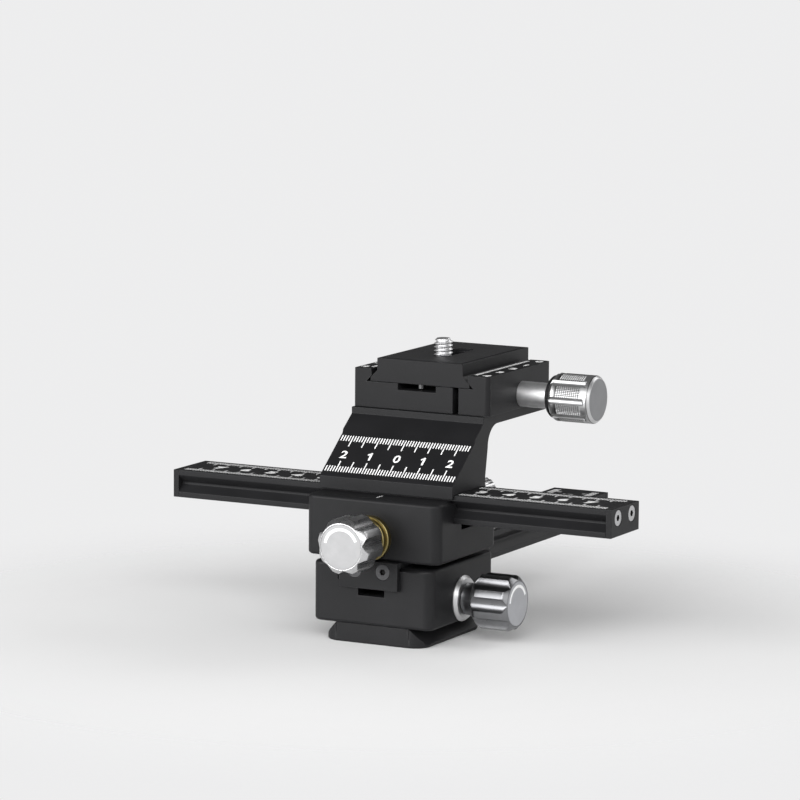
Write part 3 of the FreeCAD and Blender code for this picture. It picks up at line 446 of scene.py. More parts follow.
def socket_screw(node, tint, axis):
    """Screw with painted shade in its hexagon socket: below its head's flat face the colour is near black."""
    rough = 0.42
    low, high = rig.box(node)
    s = Surface(node + "_metal", tint, 0.85, rough)
    across = s.add("SeparateXYZ", {0: s.centred((low + high) / 2)}).outputs[axis]
    along = s.total(across, 0.0, "ABSOLUTE")
    face = (high - low)["XYZ".index(axis)] / 2
    cloud = s.noise(0.0008)
    metal = s.blend(cloud, shade(tint, 0.85), tint)
    # painted shade: the socket below the head's face is coloured near black, as shade falls in it
    inside = s.span(along, face - 0.10 * MM, face - 0.05 * MM, 1.0, 0.0)
    s.two_tone(inside, metal, (0.008, 0.008, 0.008))
    s.set("Roughness", s.span(cloud, 0.3, 0.7, rough - 0.04, rough + 0.06))
    s.bump(s.noise(0.0002, 2.0), 0.000006, 0.5)
    return s.material


def knurled_metal(name, base, rough, centre, radius, depth):
    """Turned metal with a knurl about X, with painted shade in the bottoms of its small grooves."""
    s = Surface(name, base, 1.0, rough[0])
    rings = s.rings(centre, "X", FINE_RINGS)
    flat = s.vector("MULTIPLY", s.centred(centre), (0.0, 1.0, 1.0))[0]
    away = s.vector("LENGTH", flat)["Value"]
    painted_groove_shade = s.span(away, radius - 0.8 * depth, radius - 0.1 * depth, 1.0, 0.0)
    above_flutes = s.span(away, radius - 1.6 * depth, radius - 1.1 * depth, 0.0, 1.0)
    smudge = s.noise(0.0045, 4.0)
    metal = s.blend(s.span(smudge, 0.35, 0.65, 0.0, 1.0), shade(base, 0.9), base)
    # painted shade: the knurl's groove bottoms are darkened to a sixth of the metal, except on the flutes
    s.two_tone(s.total(painted_groove_shade, above_flutes, "MULTIPLY"), metal, shade(base, 0.16))
    s.set("Roughness", s.span(rings, 0.0, 1.0, *rough))
    s.bump(rings, 0.000003, 0.7)
    return s.material


def black_oxide(tints):
    """Screws blackened in oil, brighter where a key has rubbed them."""
    s = Surface("black_oxide", tints.black_steel, 0.7, 0.36)
    edge_wear_and_highlight = s.total(s.worn_edges(0.0002), s.span(s.noise(0.0009), 0.35, 0.65, 0.2, 0.9), "MULTIPLY")
    s.two_tone(edge_wear_and_highlight, tints.black_steel, shade(tints.steel, 0.5))
    s.set("Roughness", s.span(s.noise(0.0006), 0.3, 0.7, 0.30, 0.44))
    s.bump(s.noise(0.0002, 2.0), 0.000006, 0.5)
    return s.material


def smooth_rubber(tints):
    """Smooth rubber with a fine pebbled skin and a dull sheen."""
    s = Surface("smooth_rubber", tints.rubber, 0.0, 0.4, specular=0.06)
    skin, dust = s.noise(0.00045, 4.0, 0.6), s.noise(0.012, 5.0)
    s.two_tone(s.span(dust, 0.4, 0.75, 0.0, 0.5), tints.rubber, shade(tints.rubber, 2.4))
    s.set("Roughness", s.span(skin, 0.3, 0.7, 0.30, 0.42))
    s.bump(skin, 0.000008, 0.5)
    return s.material


def acetal(tints):
    """Black acetal strip, smooth and slightly waxy."""
    s = Surface("acetal", tints.acetal, 0.0, 0.4)
    cloud = s.noise(0.006)
    s.two_tone(cloud, shade(tints.acetal, 0.93), tints.acetal)
    s.set("Roughness", s.span(cloud, 0.3, 0.7, 0.34, 0.48))
    s.bump(s.noise(0.0005, 2.0), 0.00001, 0.4)
    return s.material


def white_paint(tints):
    """Filled engraving: matt white, thinner here and there."""
    s = Surface("white_paint", tints.paint, 0.0, 0.6)
    thin = s.noise(0.0012)
    s.two_tone(s.span(thin, 0.35, 0.6, 0.0, 1.0), shade(tints.paint, 0.88), tints.paint)
    s.set("Roughness", s.span(thin, 0.3, 0.7, 0.5, 0.7))
    s.bump(s.noise(0.0002, 2.0), 0.000008, 0.5)
    return s.material


def knob_cap(name, tint, centre, axis):
    """Matt anodised cap with faint turning rings."""
    return turned_metal(name, tint, 0.15, (0.46, 0.54), centre, axis, 0.00022, 0.000004)


MADE = {}


def finish(maker):
    """A finish is made once, and shared by the pieces that have it."""
    if maker not in MADE:
        MADE[maker] = maker(bpy.context.scene.finish_colours)
    return MADE[maker]


# ---------- helpers
def matrix_of(x, y, z, origin):
    """Matrix with the given axes and origin."""
    return Matrix([[*row] for row in zip(x, y, z, origin)] + [[0, 0, 0, 1]])


def middle_of(node):
    low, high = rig.box(node)
    return (low + high) / 2


def cap_frame(cap, outward):
    """Frame of a knob: origin at the middle of its face, +X outward, +Z up."""
    low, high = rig.box(cap)
    reach = Vector(outward)
    half = abs(reach.dot(high - low)) / 2
    turn = Matrix.Rotation(math.atan2(reach.y, reach.x), 4, "Z")
    return Matrix.Translation(middle_of(cap) + reach * half) @ turn


def to_piece(bm, name, material, node=None, body=None, slot=None, soft=32.0):
    """Turn a bmesh into a piece that rides on its body, and stands for its CAD node if it has one."""
    bmesh.ops.remove_doubles(bm, verts=bm.verts, dist=SAME_POINT)
    bmesh.ops.recalc_face_normals(bm, faces=bm.faces)
    for face in bm.faces:
        face.smooth = True
    mesh = bpy.data.meshes.new(name)
    bm.to_mesh(mesh)
    bm.free()
    mesh.set_sharp_from_angle(angle=math.radians(soft))
    mesh.materials.append(material)
    piece = bpy.data.objects.new(name, mesh)
    bpy.context.scene.collection.objects.link(piece)
    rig.ride(piece, body or BODY_OF[node])
    if node:
        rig.replaces(piece, node)
    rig.slot(piece, slot or SLOT_OF[node])
    return piece


def break_edges(bm, edge, sharper_than, longer_than, clamp_overlap):
    """Break the edges that are sharper than an angle in degrees and longer than a length."""
    sharp = [e for e in bm.edges if len(e.link_faces) == 2 and e.calc_length() > longer_than
             and e.calc_face_angle(0.0) > math.radians(sharper_than)]
    bmesh.ops.bevel(bm, geom=sharp, affect="EDGES", offset=edge, segments=2, profile=0.5, material=-1,
                    clamp_overlap=clamp_overlap)


def milled(node, edge):
    """The shape of a CAD node with its sharp edges broken, as a cutter's chamfer leaves them."""
    bm = bmesh.new()
    bm.from_mesh(NODES[node].data)
    bmesh.ops.remove_doubles(bm, verts=bm.verts, dist=SAME_POINT)
    flat = math.radians(0.4)
    bmesh.ops.dissolve_limit(bm, angle_limit=flat, verts=bm.verts, edges=bm.edges)
    break_edges(bm, edge, sharper_than=38.0, longer_than=2.5 * edge, clamp_overlap=False)
    return bm


def milled_piece(node, name, material, edge):
    piece = to_piece(milled(node, edge), name, material, node, soft=50.0)
    piece.modifiers.new("Flat faces", "WEIGHTED_NORMAL").keep_sharp = True


def turned(outline, steps):
    """Body of revolution about X; outline holds (x, radius) points."""
    bm = bmesh.new()
    chain = [bm.verts.new((x, 0.0, r)) for x, r in outline]
    edges = [bm.edges.new(pair) for pair in zip(chain, chain[1:])]
    bmesh.ops.spin(bm, geom=chain + edges, cent=(0, 0, 0), axis=(1, 0, 0), dvec=(0, 0, 0),
                   angle=2 * math.pi, steps=steps, use_merge=True)
    bmesh.ops.remove_doubles(bm, verts=bm.verts, dist=SEAM)
    return bm


def rounded(outline, radius, parts=3):
    """The same outline with its inner corners rounded."""
    out = [outline[0]]
    for before, corner, after in zip(outline, outline[1:], outline[2:]):
        a, b, c = Vector(before), Vector(corner), Vector(after)
        cut = min(radius, (a - b).length * 0.45, (c - b).length * 0.45)
        start, end = b + (a - b).normalized() * cut, b + (c - b).normalized() * cut
        for i in range(parts + 1):
            t = i / parts
            point = start * (1 - t) ** 2 + b * (2 * t * (1 - t)) + end * t ** 2
            out.append((point.x, point.y))
    return out + [outline[-1]]


def divided(outline, step):
    """The same outline with its long runs divided."""
    out = [outline[0]]
    for (x0, r0), (x1, r1) in zip(outline, outline[1:]):
        parts = max(1, round(math.hypot(x1 - x0, r1 - r0) / step))
        out += [(x0 + (x1 - x0) * i / parts, r0 + (r1 - r0) * i / parts) for i in range(1, parts + 1)]
    return out


def cut_flutes(bm, flutes, radius, cutter, depth, first_angle, rays, knurl=None, rise=None):
    """Press flutes into a turned body; its rays are moved so that some lie on the flutes' edges.

    rays counts the steps across a flute and across the land beside it. knurl gives a depth at a
    place on a land, and rise the share of the flutes' depth that is cut at x.
    """
    in_flute, on_land = rays
    steps = in_flute + on_land
    distance = radius - depth + cutter
    sector = 2 * math.pi / flutes
    hair = 0.0004 * MM
    for vert in bm.verts:
        x, y, z = vert.co
        r = math.hypot(y, z)
        if r < ON_AXIS:
            continue
        ray = round(math.atan2(-y, z) / (sector / steps)) % (steps * flutes)
        step = ray % steps
        reach = max(r, distance - cutter + hair)
        cosine = (distance ** 2 + reach ** 2 - cutter ** 2) / (2 * distance * reach)
        half = max(LEAST_HALF_FLUTE, math.acos(min(1.0, cosine)))
        if step <= in_flute:
            offset = -half + 2 * half * step / in_flute
        else:
            offset = half + (sector - 2 * half) * (step - in_flute) / on_land
        if abs(offset) < half:
            inner = cutter ** 2 - (distance * math.sin(offset)) ** 2
            bottom = distance * math.cos(offset) - math.sqrt(max(0.0, inner))
            r -= max(0.0, r - bottom) * (rise(x) if rise else 1.0)
        elif knurl:
            r -= knurl(x, (step - in_flute) / on_land)
        turn = first_angle + (ray // steps) * sector + offset
        vert.co = (x, r * math.cos(turn), r * math.sin(turn))


# ---------- marks
class Marks:
    """Painted ticks and digits of one scale. Its plane has X along the scale and Z out of the metal."""

    digits_made = {}

    def __init__(self, plane):
        self.plane = plane
        self.paint = bpy.context.scene.scale_sizes.paint
        self.bm = bmesh.new()

    def bar(self, x, y, width, height, turn=0.0):
        size = Matrix.Diagonal((width, height, 2 * self.paint, 1.0))
        place = Matrix.Translation((x, y, 0.0)) @ Matrix.Rotation(turn, 4, "Z")
        bmesh.ops.create_cube(self.bm, size=1.0, matrix=self.plane @ place @ size)

    def tick(self, x, y0, y1, width):
        self.bar(x, (y0 + y1) / 2, width, abs(y1 - y0))

    def flag(self, x, y, height):
        """Slanting stroke at the top of a 1."""
        self.bar(x - 0.17 * height, y + 0.30 * height, 0.17 * height, 0.42 * height, turn=-0.95)

    def digits(self, text, x, y, height, turn=0.0, widen=1.0, bold=0.0):
        shape = self.flat_digits(text, bold)
        first = len(self.bm.verts)
        self.bm.from_mesh(shape)
        self.bm.verts.ensure_lookup_table()
        size = Matrix.Diagonal((height * widen, height, 2 * self.paint, 1.0))
        place = self.plane @ Matrix.Translation((x, y, 0.0)) @ Matrix.Rotation(turn, 4, "Z") @ size
        bmesh.ops.transform(self.bm, matrix=place, verts=self.bm.verts[first:])

    @classmethod
    def flat_digits(cls, text, bold):
        """Digits one unit high and one unit thick, centred on the origin."""
        if (text, bold) not in cls.digits_made:
            curve = bpy.data.curves.new("digits", "FONT")
            curve.body, curve.size, curve.resolution_u = text, 1.0, 3
            curve.offset, curve.extrude, curve.space_character = bold, 0.5, 1.06
            holder = bpy.data.objects.new("digits", curve)
            mesh = bpy.data.meshes.new_from_object(holder)
            across, up = [[v.co[i] for v in mesh.vertices] for i in (0, 1)]
            scale = 1.0 / (max(up) - min(up))
            middle = Vector(((min(across) + max(across)) / 2, (min(up) + max(up)) / 2, 0.0))
            mesh.transform(Matrix.Diagonal((scale, scale, 1.0, 1.0)) @ Matrix.Translation(-middle))
            bpy.data.objects.remove(holder)
            cls.digits_made[text, bold] = mesh
        return cls.digits_made[text, bold]

    def piece(self, name, body):
        return to_piece(self.bm, name, finish(white_paint), body=body, slot=SLOT_OF["upper_rail"])


def plane_at(origin, along, out):
    """Matrix whose X runs along a scale and whose Z leaves the surface."""
    x, z = Vector(along).normalized(), Vector(out).normalized()
    return matrix_of(x, z.cross(x), z, origin)


# ---------- operators
class FOCUSRAIL_OT_milled_bodies(bpy.types.Operator):
    """Give the anodised bodies broken edges and their satin black finish"""
    bl_idname = "focusrail.milled_bodies"
    bl_label = "Milled Bodies"

    # each body, and the width of its broken edges in millimetres
    bodies = (("arca_foot", 0.2), ("lower_block", 0.16), ("upper_block", 0.16), ("lower_rail", 0.16),
              ("upper_rail", 0.16), ("lower_end_plates", 0.14), ("upper_end_plates", 0.14),
              ("scale_bracket", 0.2), ("clamp_body", 0.2), ("clamp_jaw", 0.2), ("quick_release_plate", 0.2))

    def execute(self, context):
        for node, edge in self.bodies:
            milled_piece(node, node + "_milled", finish(anodised_black), edge * MM)
        milled_piece("plate_pad", "plate_pad_moulded", finish(smooth_rubber), 0.08 * MM)
        return {"FINISHED"}


def knob_outline(sizes, neck):
    """Outline of a drive knob from its back to the floor of its cap's seat; the face is x = 0."""
    start, seat, r = -sizes.grip_length, sizes.cap_radius, sizes.radius
    outline = [(start, r - sizes.back_chamfer), (start + sizes.back_chamfer, r),
               (-sizes.face_chamfer, r), (0.0, r - sizes.face_chamfer), (0.0, seat)]
    corner, ring_step = 0.5 * MM, 1.6 * MM
    outline = divided(rounded(outline, corner), ring_step)
    floor = [(-sizes.cap_depth, seat), (-sizes.cap_depth, 0.0)]
    back, n, chamfer = start - neck, sizes.neck_radius, 0.2 * MM
    behind = [(back, 0.0), (back, n - chamfer), (back + chamfer, n), (start, n)]
    return behind + outline + floor


def face_cap(node, radius, depth, place, axis, tint):
    """Cap in a knob's face, a hair smaller than its seat, with a rounded rim."""
    play, rim, ring_step, steps = 0.03 * MM, 0.16 * MM, 1.5 * MM, 96
    r = radius - play
    outline = [(-depth, 0.0), (-depth, r), (0.0, r), (0.0, 0.0)]
    bm = turned(divided(rounded(outline, rim), ring_step), steps)
    bmesh.ops.transform(bm, matrix=place, verts=bm.verts)
    material = knob_cap(node + "_metal", tint, place.translation, axis)
    to_piece(bm, node + "_turned", material, node)


def face_arc(sizes, place, knob):
    """White arc painted on a drive knob's face."""
    thick = bpy.context.scene.scale_sizes.paint
    bm = bmesh.new()
    inner, outer = sizes.arc_radius - sizes.arc_width / 2, sizes.arc_radius + sizes.arc_width / 2
    rim = [bm.verts.new((0.0, 0.0, inner)), bm.verts.new((0.0, 0.0, outer))]
    edge = bm.edges.new(rim)
    bmesh.ops.rotate(bm, verts=rim, cent=(0, 0, 0),
                     matrix=Matrix.Rotation(sizes.arc_lean - sizes.arc_angle / 2, 3, "X"))
    bmesh.ops.spin(bm, geom=rim + [edge], cent=(0, 0, 0), axis=(1, 0, 0), dvec=(0, 0, 0),
                   angle=sizes.arc_angle, steps=48, use_merge=False)
    top = bmesh.ops.extrude_face_region(bm, geom=bm.faces[:])
    raised = [item for item in top["geom"] if isinstance(item, bmesh.types.BMVert)]
    bmesh.ops.translate(bm, verts=raised, vec=(thick, 0.0, 0.0))
    bmesh.ops.transform(bm, matrix=place @ Matrix.Translation((-0.3 * thick, 0, 0)), verts=bm.verts)
    to_piece(bm, knob + "_arc", finish(white_paint), body=BODY_OF[knob], slot=SLOT_OF[knob + "_cap"])


class FOCUSRAIL_OT_drive_knobs(bpy.types.Operator):
    """Turn the two fluted drive knobs, with their caps and white arcs"""
    bl_idname = "focusrail.drive_knobs"
    bl_label = "Drive Knobs"

    def execute(self, context):
        sizes, tints = context.scene.knob_sizes, context.scene.finish_colours
        for name, outward, turn, base, rough, cap_tint in (
                ("lower_knob", (1, 0, 0), sizes.lower_angle, tints.chrome, (0.28, 0.34), tints.lower_cap),
                ("upper_knob", (0, -1, 0), sizes.upper_angle, tints.silver, (0.24, 0.30), tints.upper_cap)):
            place, axis = cap_frame(name + "_cap", outward), "X" if outward[0] else "Y"
            low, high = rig.box(name)
            neck = (high - low)["XY".index(axis)] - sizes.grip_length
            rays = (14, 12)
            bm = turned(knob_outline(sizes, neck), sizes.flutes * sum(rays))
            cut_flutes(bm, sizes.flutes, sizes.radius, sizes.cutter_radius, sizes.flute_depth, turn, rays)
            edge = sizes.edge
            break_edges(bm, edge, sharper_than=28.0, longer_than=1.2 * edge, clamp_overlap=True)
            bmesh.ops.transform(bm, matrix=place, verts=bm.verts)
            to_piece(bm, name + "_turned", knob_metal(name, base, rough, place.translation, axis), name)
            face_cap(name + "_cap", sizes.cap_radius, sizes.cap_depth, place, axis, cap_tint)
            face_arc(sizes, place, name)
        return {"FINISHED"}


class FOCUSRAIL_OT_clamp_knob(bpy.types.Operator):
    """Turn the clamp's knob with its flutes and knurled panels, its cap and ring"""
    bl_idname = "focusrail.clamp_knob"
    bl_label = "Clamp Knob"

    def execute(self, context):
        sizes, tints = context.scene.knob_sizes, context.scene.finish_colours
        place = cap_frame("clamp_knob_cap", (1, 0, 0))
        start, r, seat = -sizes.clamp_length, sizes.clamp_radius, sizes.clamp_cap_radius
        back, face, corner = sizes.clamp_back_chamfer, sizes.clamp_face_chamfer, 0.4 * MM
        from_x, to_x = start + sizes.knurl_start, start + sizes.knurl_end
        pitch = (to_x - from_x) / sizes.knurl_along
        flute_end, runout = -sizes.clamp_flute_end, sizes.clamp_flute_runout
        behind = rounded([(start, 0.0), (start, r - back), (start + back, r), (from_x, r)], corner)
        cells = [i + part for i in range(sizes.knurl_along) for part in (0.0, 0.18, 0.5, 0.68)]
        panel = [(from_x + pitch * cell, r) for cell in cells]
        front = [(to_x, r), (flute_end - runout / 2, r), (-face, r), (0.0, r - face), (0.0, seat)]
        floor = [(-sizes.cap_depth, seat), (-sizes.cap_depth, 0.0)]

        def in_groove(place_in_cells):
            return not 0.1 <= place_in_cells % 1.0 <= 0.9

        def knurl(x, across):
            """Depth of the crossed grooves, which leave small square studs."""
            inside = from_x - 1e-9 < x < to_x - 1e-9
            grooved = in_groove((x - from_x) / pitch) or in_groove(across * sizes.knurl_across)
            return sizes.knurl_depth if inside and grooved else 0.0

        def rise(x):
            return min(1.0, max(0.0, (flute_end - x) / runout))

        rays = (10, 4 * sizes.knurl_across)
        bm = turned(behind[:-1] + panel + rounded(front, corner) + floor, sizes.flutes * sum(rays))
        cut_flutes(bm, sizes.flutes, r, sizes.clamp_cutter_radius, sizes.clamp_flute_depth, sizes.clamp_angle,
                   rays, knurl, rise)
        bmesh.ops.transform(bm, matrix=place, verts=bm.verts)
        metal = knurled_metal("clamp_knob_metal", tints.silver, (0.36, 0.42), place.translation, r,
                              sizes.knurl_depth)
        to_piece(bm, "clamp_knob_turned", metal, "clamp_knob", soft=24.0)
        face_cap("clamp_knob_cap", seat, sizes.cap_depth, place, "X", tints.clamp_cap)
        milled_piece("clamp_knob_ring", "clamp_knob_ring_turned", finish(anodised_black), 0.1 * MM)
        return {"FINISHED"}


class FOCUSRAIL_OT_camera_screw(bpy.types.Operator):
    """Cut the camera screw's quarter-inch thread above the plate's pad"""
    bl_idname = "focusrail.camera_screw"
    bl_label = "Camera Screw"

    def execute(self, context):
        low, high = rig.box("camera_screw")
        pad_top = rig.box("plate_pad")[1].z
        crest, root, pitch, steps = 3.175 * MM, 2.45 * MM, 1.27 * MM, 64
        bottom = pad_top - 0.1 * MM
        bm = bmesh.new()
        chain = []
        flanks = ((0.0, root), (0.24, root), (0.56, crest), (0.68, crest))    # share of the pitch, radius
        for turn in range(-1, round((high.z - bottom) / pitch) + 2):
            for share, r in flanks:
                chain.append(bm.verts.new((r, 0.0, bottom + (turn + share) * pitch)))
        edges = [bm.edges.new(pair) for pair in zip(chain, chain[1:])]
        bmesh.ops.spin(bm, geom=chain + edges, cent=(0, 0, 0), axis=(0, 0, 1), dvec=(0, 0, pitch / steps),
                       angle=2 * math.pi, steps=steps, use_merge=False)
        bmesh.ops.remove_doubles(bm, verts=bm.verts, dist=ON_AXIS)
        bmesh.ops.edgeloop_fill(bm, edges=self.trim(bm, bottom, clear_inner=True))
        bmesh.ops.edgeloop_fill(bm, edges=self.trim(bm, high.z, clear_outer=True))
        tip = root - 0.25 * MM
        for vert in bm.verts:  # the chamfer at the thread's free end
            r = math.hypot(vert.co.x, vert.co.y)
            limit = tip + high.z - vert.co.z
            if r > limit:
                vert.co.x, vert.co.y = vert.co.x * limit / r, vert.co.y * limit / r
        bmesh.ops.translate(bm, verts=bm.verts, vec=((low.x + high.x) / 2, (low.y + high.y) / 2, 0.0))
        shank = milled("camera_screw", 0.06 * MM)
        self.trim(shank, pad_top - 0.02 * MM, clear_outer=True)
        bmesh.ops.holes_fill(shank, edges=shank.edges, sides=0)
        mesh = bpy.data.meshes.new("shank")
        shank.to_mesh(mesh)
        shank.free()
        bm.from_mesh(mesh)
        to_piece(bm, "camera_screw_threaded", finish(milled_steel), "camera_screw")
        return {"FINISHED"}

    @staticmethod
    def trim(bm, height, **side):
        """Cut a body off at a height; returns the edges round the cut."""
        cut = bmesh.ops.bisect_plane(bm, geom=bm.verts[:] + bm.edges[:] + bm.faces[:], dist=1e-8,
                                     plane_co=(0, 0, height), plane_no=(0, 0, 1), **side)
        return [item for item in cut["geom_cut"] if isinstance(item, bmesh.types.BMEdge)]


class FOCUSRAIL_OT_rail_scales(bpy.types.Operator):
    """Paint the millimetre scales on the tops of both rails and the index on the block"""
    bl_idname = "focusrail.rail_scales"
    bl_label = "Rail Scales"

    upper_numbers, lower_numbers = range(3, 8), range(5, 16)    # in centimetres

    def execute(self, context):
        sizes, bare_end = context.scene.scale_sizes, 1.2 * MM
        low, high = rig.box("upper_rail")
        middle = (low.y + high.y) / 2
        plane = plane_at((0.0, middle, high.z), (1, 0, 0), (0, 0, 1))
        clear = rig.box("scale_bracket")[1].x + 0.4 * MM
        marks = Marks(plane)
        end = high.x - bare_end
        self.ticks(marks, sizes, high.y - middle, -end, end, lambda x: abs(x) > clear)
        for side in (-1, 1):
            for tens in self.upper_numbers:
                marks.digits(str(tens), side * tens * 10 * MM, 0.0, sizes.rail_digit, widen=1.3, bold=0.06)
        marks.piece("upper_rail_scale", BODY_OF["upper_rail"])

        low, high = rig.box("lower_rail")
        centre = (low.x + high.x) / 2
        zero = low.y
        plane = plane_at((centre, zero, high.z), (0, 1, 0), (0, 0, 1))
        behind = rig.box("upper_block")[1].y - zero + 1.0 * MM
        marks = Marks(plane)
        self.ticks(marks, sizes, high.x - centre, 0.0, high.y - zero - bare_end, lambda x: x > behind)
        height = sizes.rail_digit * 0.86    # less, as its numbers lie across the rail
        for tens in self.lower_numbers:
            marks.digits(str(tens), tens * 10 * MM, 0.0, height, turn=-math.pi / 2, bold=0.06)
        marks.piece("lower_rail_scale", BODY_OF["lower_rail"])

        low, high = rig.box("upper_block")
        marks = Marks(plane_at((0.0, low.y, high.z), (1, 0, 0), (0, 0, 1)))
        index_x, index_from, index_to = -0.3 * MM, 4.4 * MM, 8.6 * MM
        marks.tick(index_x, index_from, index_to, sizes.tick_width)
        marks.piece("upper_block_index", BODY_OF["upper_block"])
        return {"FINISHED"}

    @staticmethod
    def ticks(marks, sizes, half_width, start, end, shown):
        """Two rows of ticks that point inward from a rail's edges."""
        for step in range(math.ceil(start / sizes.pitch), math.floor(end / sizes.pitch) + 1):
            x = step * sizes.pitch
            if not shown(x):
                continue
            reach = sizes.rail_short if step % 5 else sizes.rail_long
            outer = half_width - sizes.rail_inset
            for side in (-1, 1):
                marks.tick(x, side * outer, side * (outer - reach), sizes.tick_width)


class FOCUSRAIL_OT_bracket_scale(bpy.types.Operator):
    """Paint the plus-minus scale on the bracket's slope"""
    bl_idname = "focusrail.bracket_scale"
    bl_label = "Bracket Scale"

    slope_foot = (-11.93 * MM, 2.9 * MM)     # across from the rail's middle, up from its top
    slope_top = (4.0 * MM, 15.3 * MM)

    def execute(self, context):
        sizes = context.scene.scale_sizes
        middle, top = middle_of("upper_rail"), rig.box("upper_rail")[1].z
        foot = Vector((0.0, middle.y + self.slope_foot[0], top + self.slope_foot[1]))
        rise = Vector((0.0, self.slope_top[0] - self.slope_foot[0], self.slope_top[1] - self.slope_foot[1]))
        out = Vector((1, 0, 0)).cross(rise)
        marks = Marks(plane_at(foot, (1, 0, 0), out))
        last = 24
        for step in range(-last, last + 1):
            x = step * sizes.pitch
            reach = sizes.slope_short if step % 5 else sizes.slope_long
            marks.tick(x, sizes.slope_inset, sizes.slope_inset + reach, sizes.tick_width)
            marks.tick(x, sizes.slope_height - reach, sizes.slope_height, sizes.tick_width)
        between = (sizes.slope_inset + sizes.slope_height) / 2 - 0.4 * MM
        for tens in range(-2, 3):
            marks.digits(str(abs(tens)), tens * 10 * MM, between, sizes.slope_digit, widen=1.16, bold=0.018)
            if abs(tens) == 1:
                marks.flag(tens * 10 * MM, between, sizes.slope_digit)
        marks.piece("bracket_scale_paint", BODY_OF["scale_bracket"])
        return {"FINISHED"}


class FOCUSRAIL_OT_clamp_scales(bpy.types.Operator):
    """Paint the scales on the clamp's two lips"""
    bl_idname = "focusrail.clamp_scales"
    bl_label = "Clamp Scales"

    ticks_from, ticks_to = 18.9 * MM, 20.3 * MM    # from the clamp's middle

    def execute(self, context):
        sizes = context.scene.scale_sizes
        for node, side, digits_at in (("clamp_jaw", 1, 23.6 * MM), ("clamp_body", -1, 22.6 * MM)):
            low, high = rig.box(node)
            marks = Marks(plane_at((0.0, low.y, high.z), (0, 1, 0), (0, 0, 1)))
            along = high.y - low.y
            for step in range(4, round((along - 3 * MM) / sizes.pitch)):
                x = step * sizes.pitch
                marks.tick(x, -side * self.ticks_from, -side * self.ticks_to, sizes.fine_tick_width)
            for tens in range(5):
                y = along / 2 + (2 - tens) * 10.0 * MM
                marks.digits(str(tens), y, -side * digits_at, sizes.clamp_digit, -math.pi / 2, 1.3, 0.05)
            marks.piece(node + "_scale", BODY_OF[node])
        return {"FINISHED"}


class FOCUSRAIL_OT_small_parts(bpy.types.Operator):
    """Give the lock screws, bearings, screws, gears and inner parts their finishes"""
    bl_idname = "focusrail.small_parts"
    bl_label = "Small Parts"

    def execute(self, context):
        tints = context.scene.finish_colours
        for node, axis in (("lower_lock_knob", "X"), ("upper_lock_knob", "Y")):
            metal = knob_metal(node, tints.silver, (0.26, 0.33), middle_of(node), axis)
            milled_piece(node, node + "_turned", metal, 0.06 * MM)
        hidden = {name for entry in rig.table()["pieces"] for name in entry.get("replaces", ())}
        by_slot = {"steel": milled_steel, "black_steel": black_oxide, "polymer": acetal}
        by_axis = {"brass": (tints.brass, (0.32, 0.40)), "chrome": (tints.silver, (0.36, 0.42))}
        for node, part in NODES.items():
            if node in hidden:
                continue
            slot = SLOT_OF[node]
            if node == "plate_stop_pins":
                # painted shade: the stop pin, deep in its recess, is given steel at a fifth of its brightness
                steel_with_painted_shade = shade(tints.steel, 0.2)
                material = small_turned_metal(node, "stop_pin_metal", steel_with_painted_shade, (0.36, 0.44), "Z")
            elif node == "clamp_shaft":
                bright = shade(tints.silver, 1.3)
                material = small_turned_metal(node, "clamp_shaft_metal", bright, (0.48, 0.54), "X")
            elif node == "upper_end_plate_screws":
                material = socket_screw(node, shade(tints.steel, 0.8), "X")
            elif node == "lower_end_plate_screws":
                material = socket_screw(node, (0.075, 0.075, 0.078), "Y")
            elif slot in by_slot:
                material = finish(by_slot[slot])
            else:
                material = small_turned_metal(node, node + "_metal", *by_axis[slot], self.round_axis(node))
            for holder in part.material_slots:
                holder.material = material
        return {"FINISHED"}

    @staticmethod
    def round_axis(node):
        """Axis across which a turned part is as wide one way as the other."""
        low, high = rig.box(node)
        size = high - low
        return "XYZ"[min(range(3), key=lambda i: abs(size[(i + 1) % 3] - size[(i + 2) % 3]))]


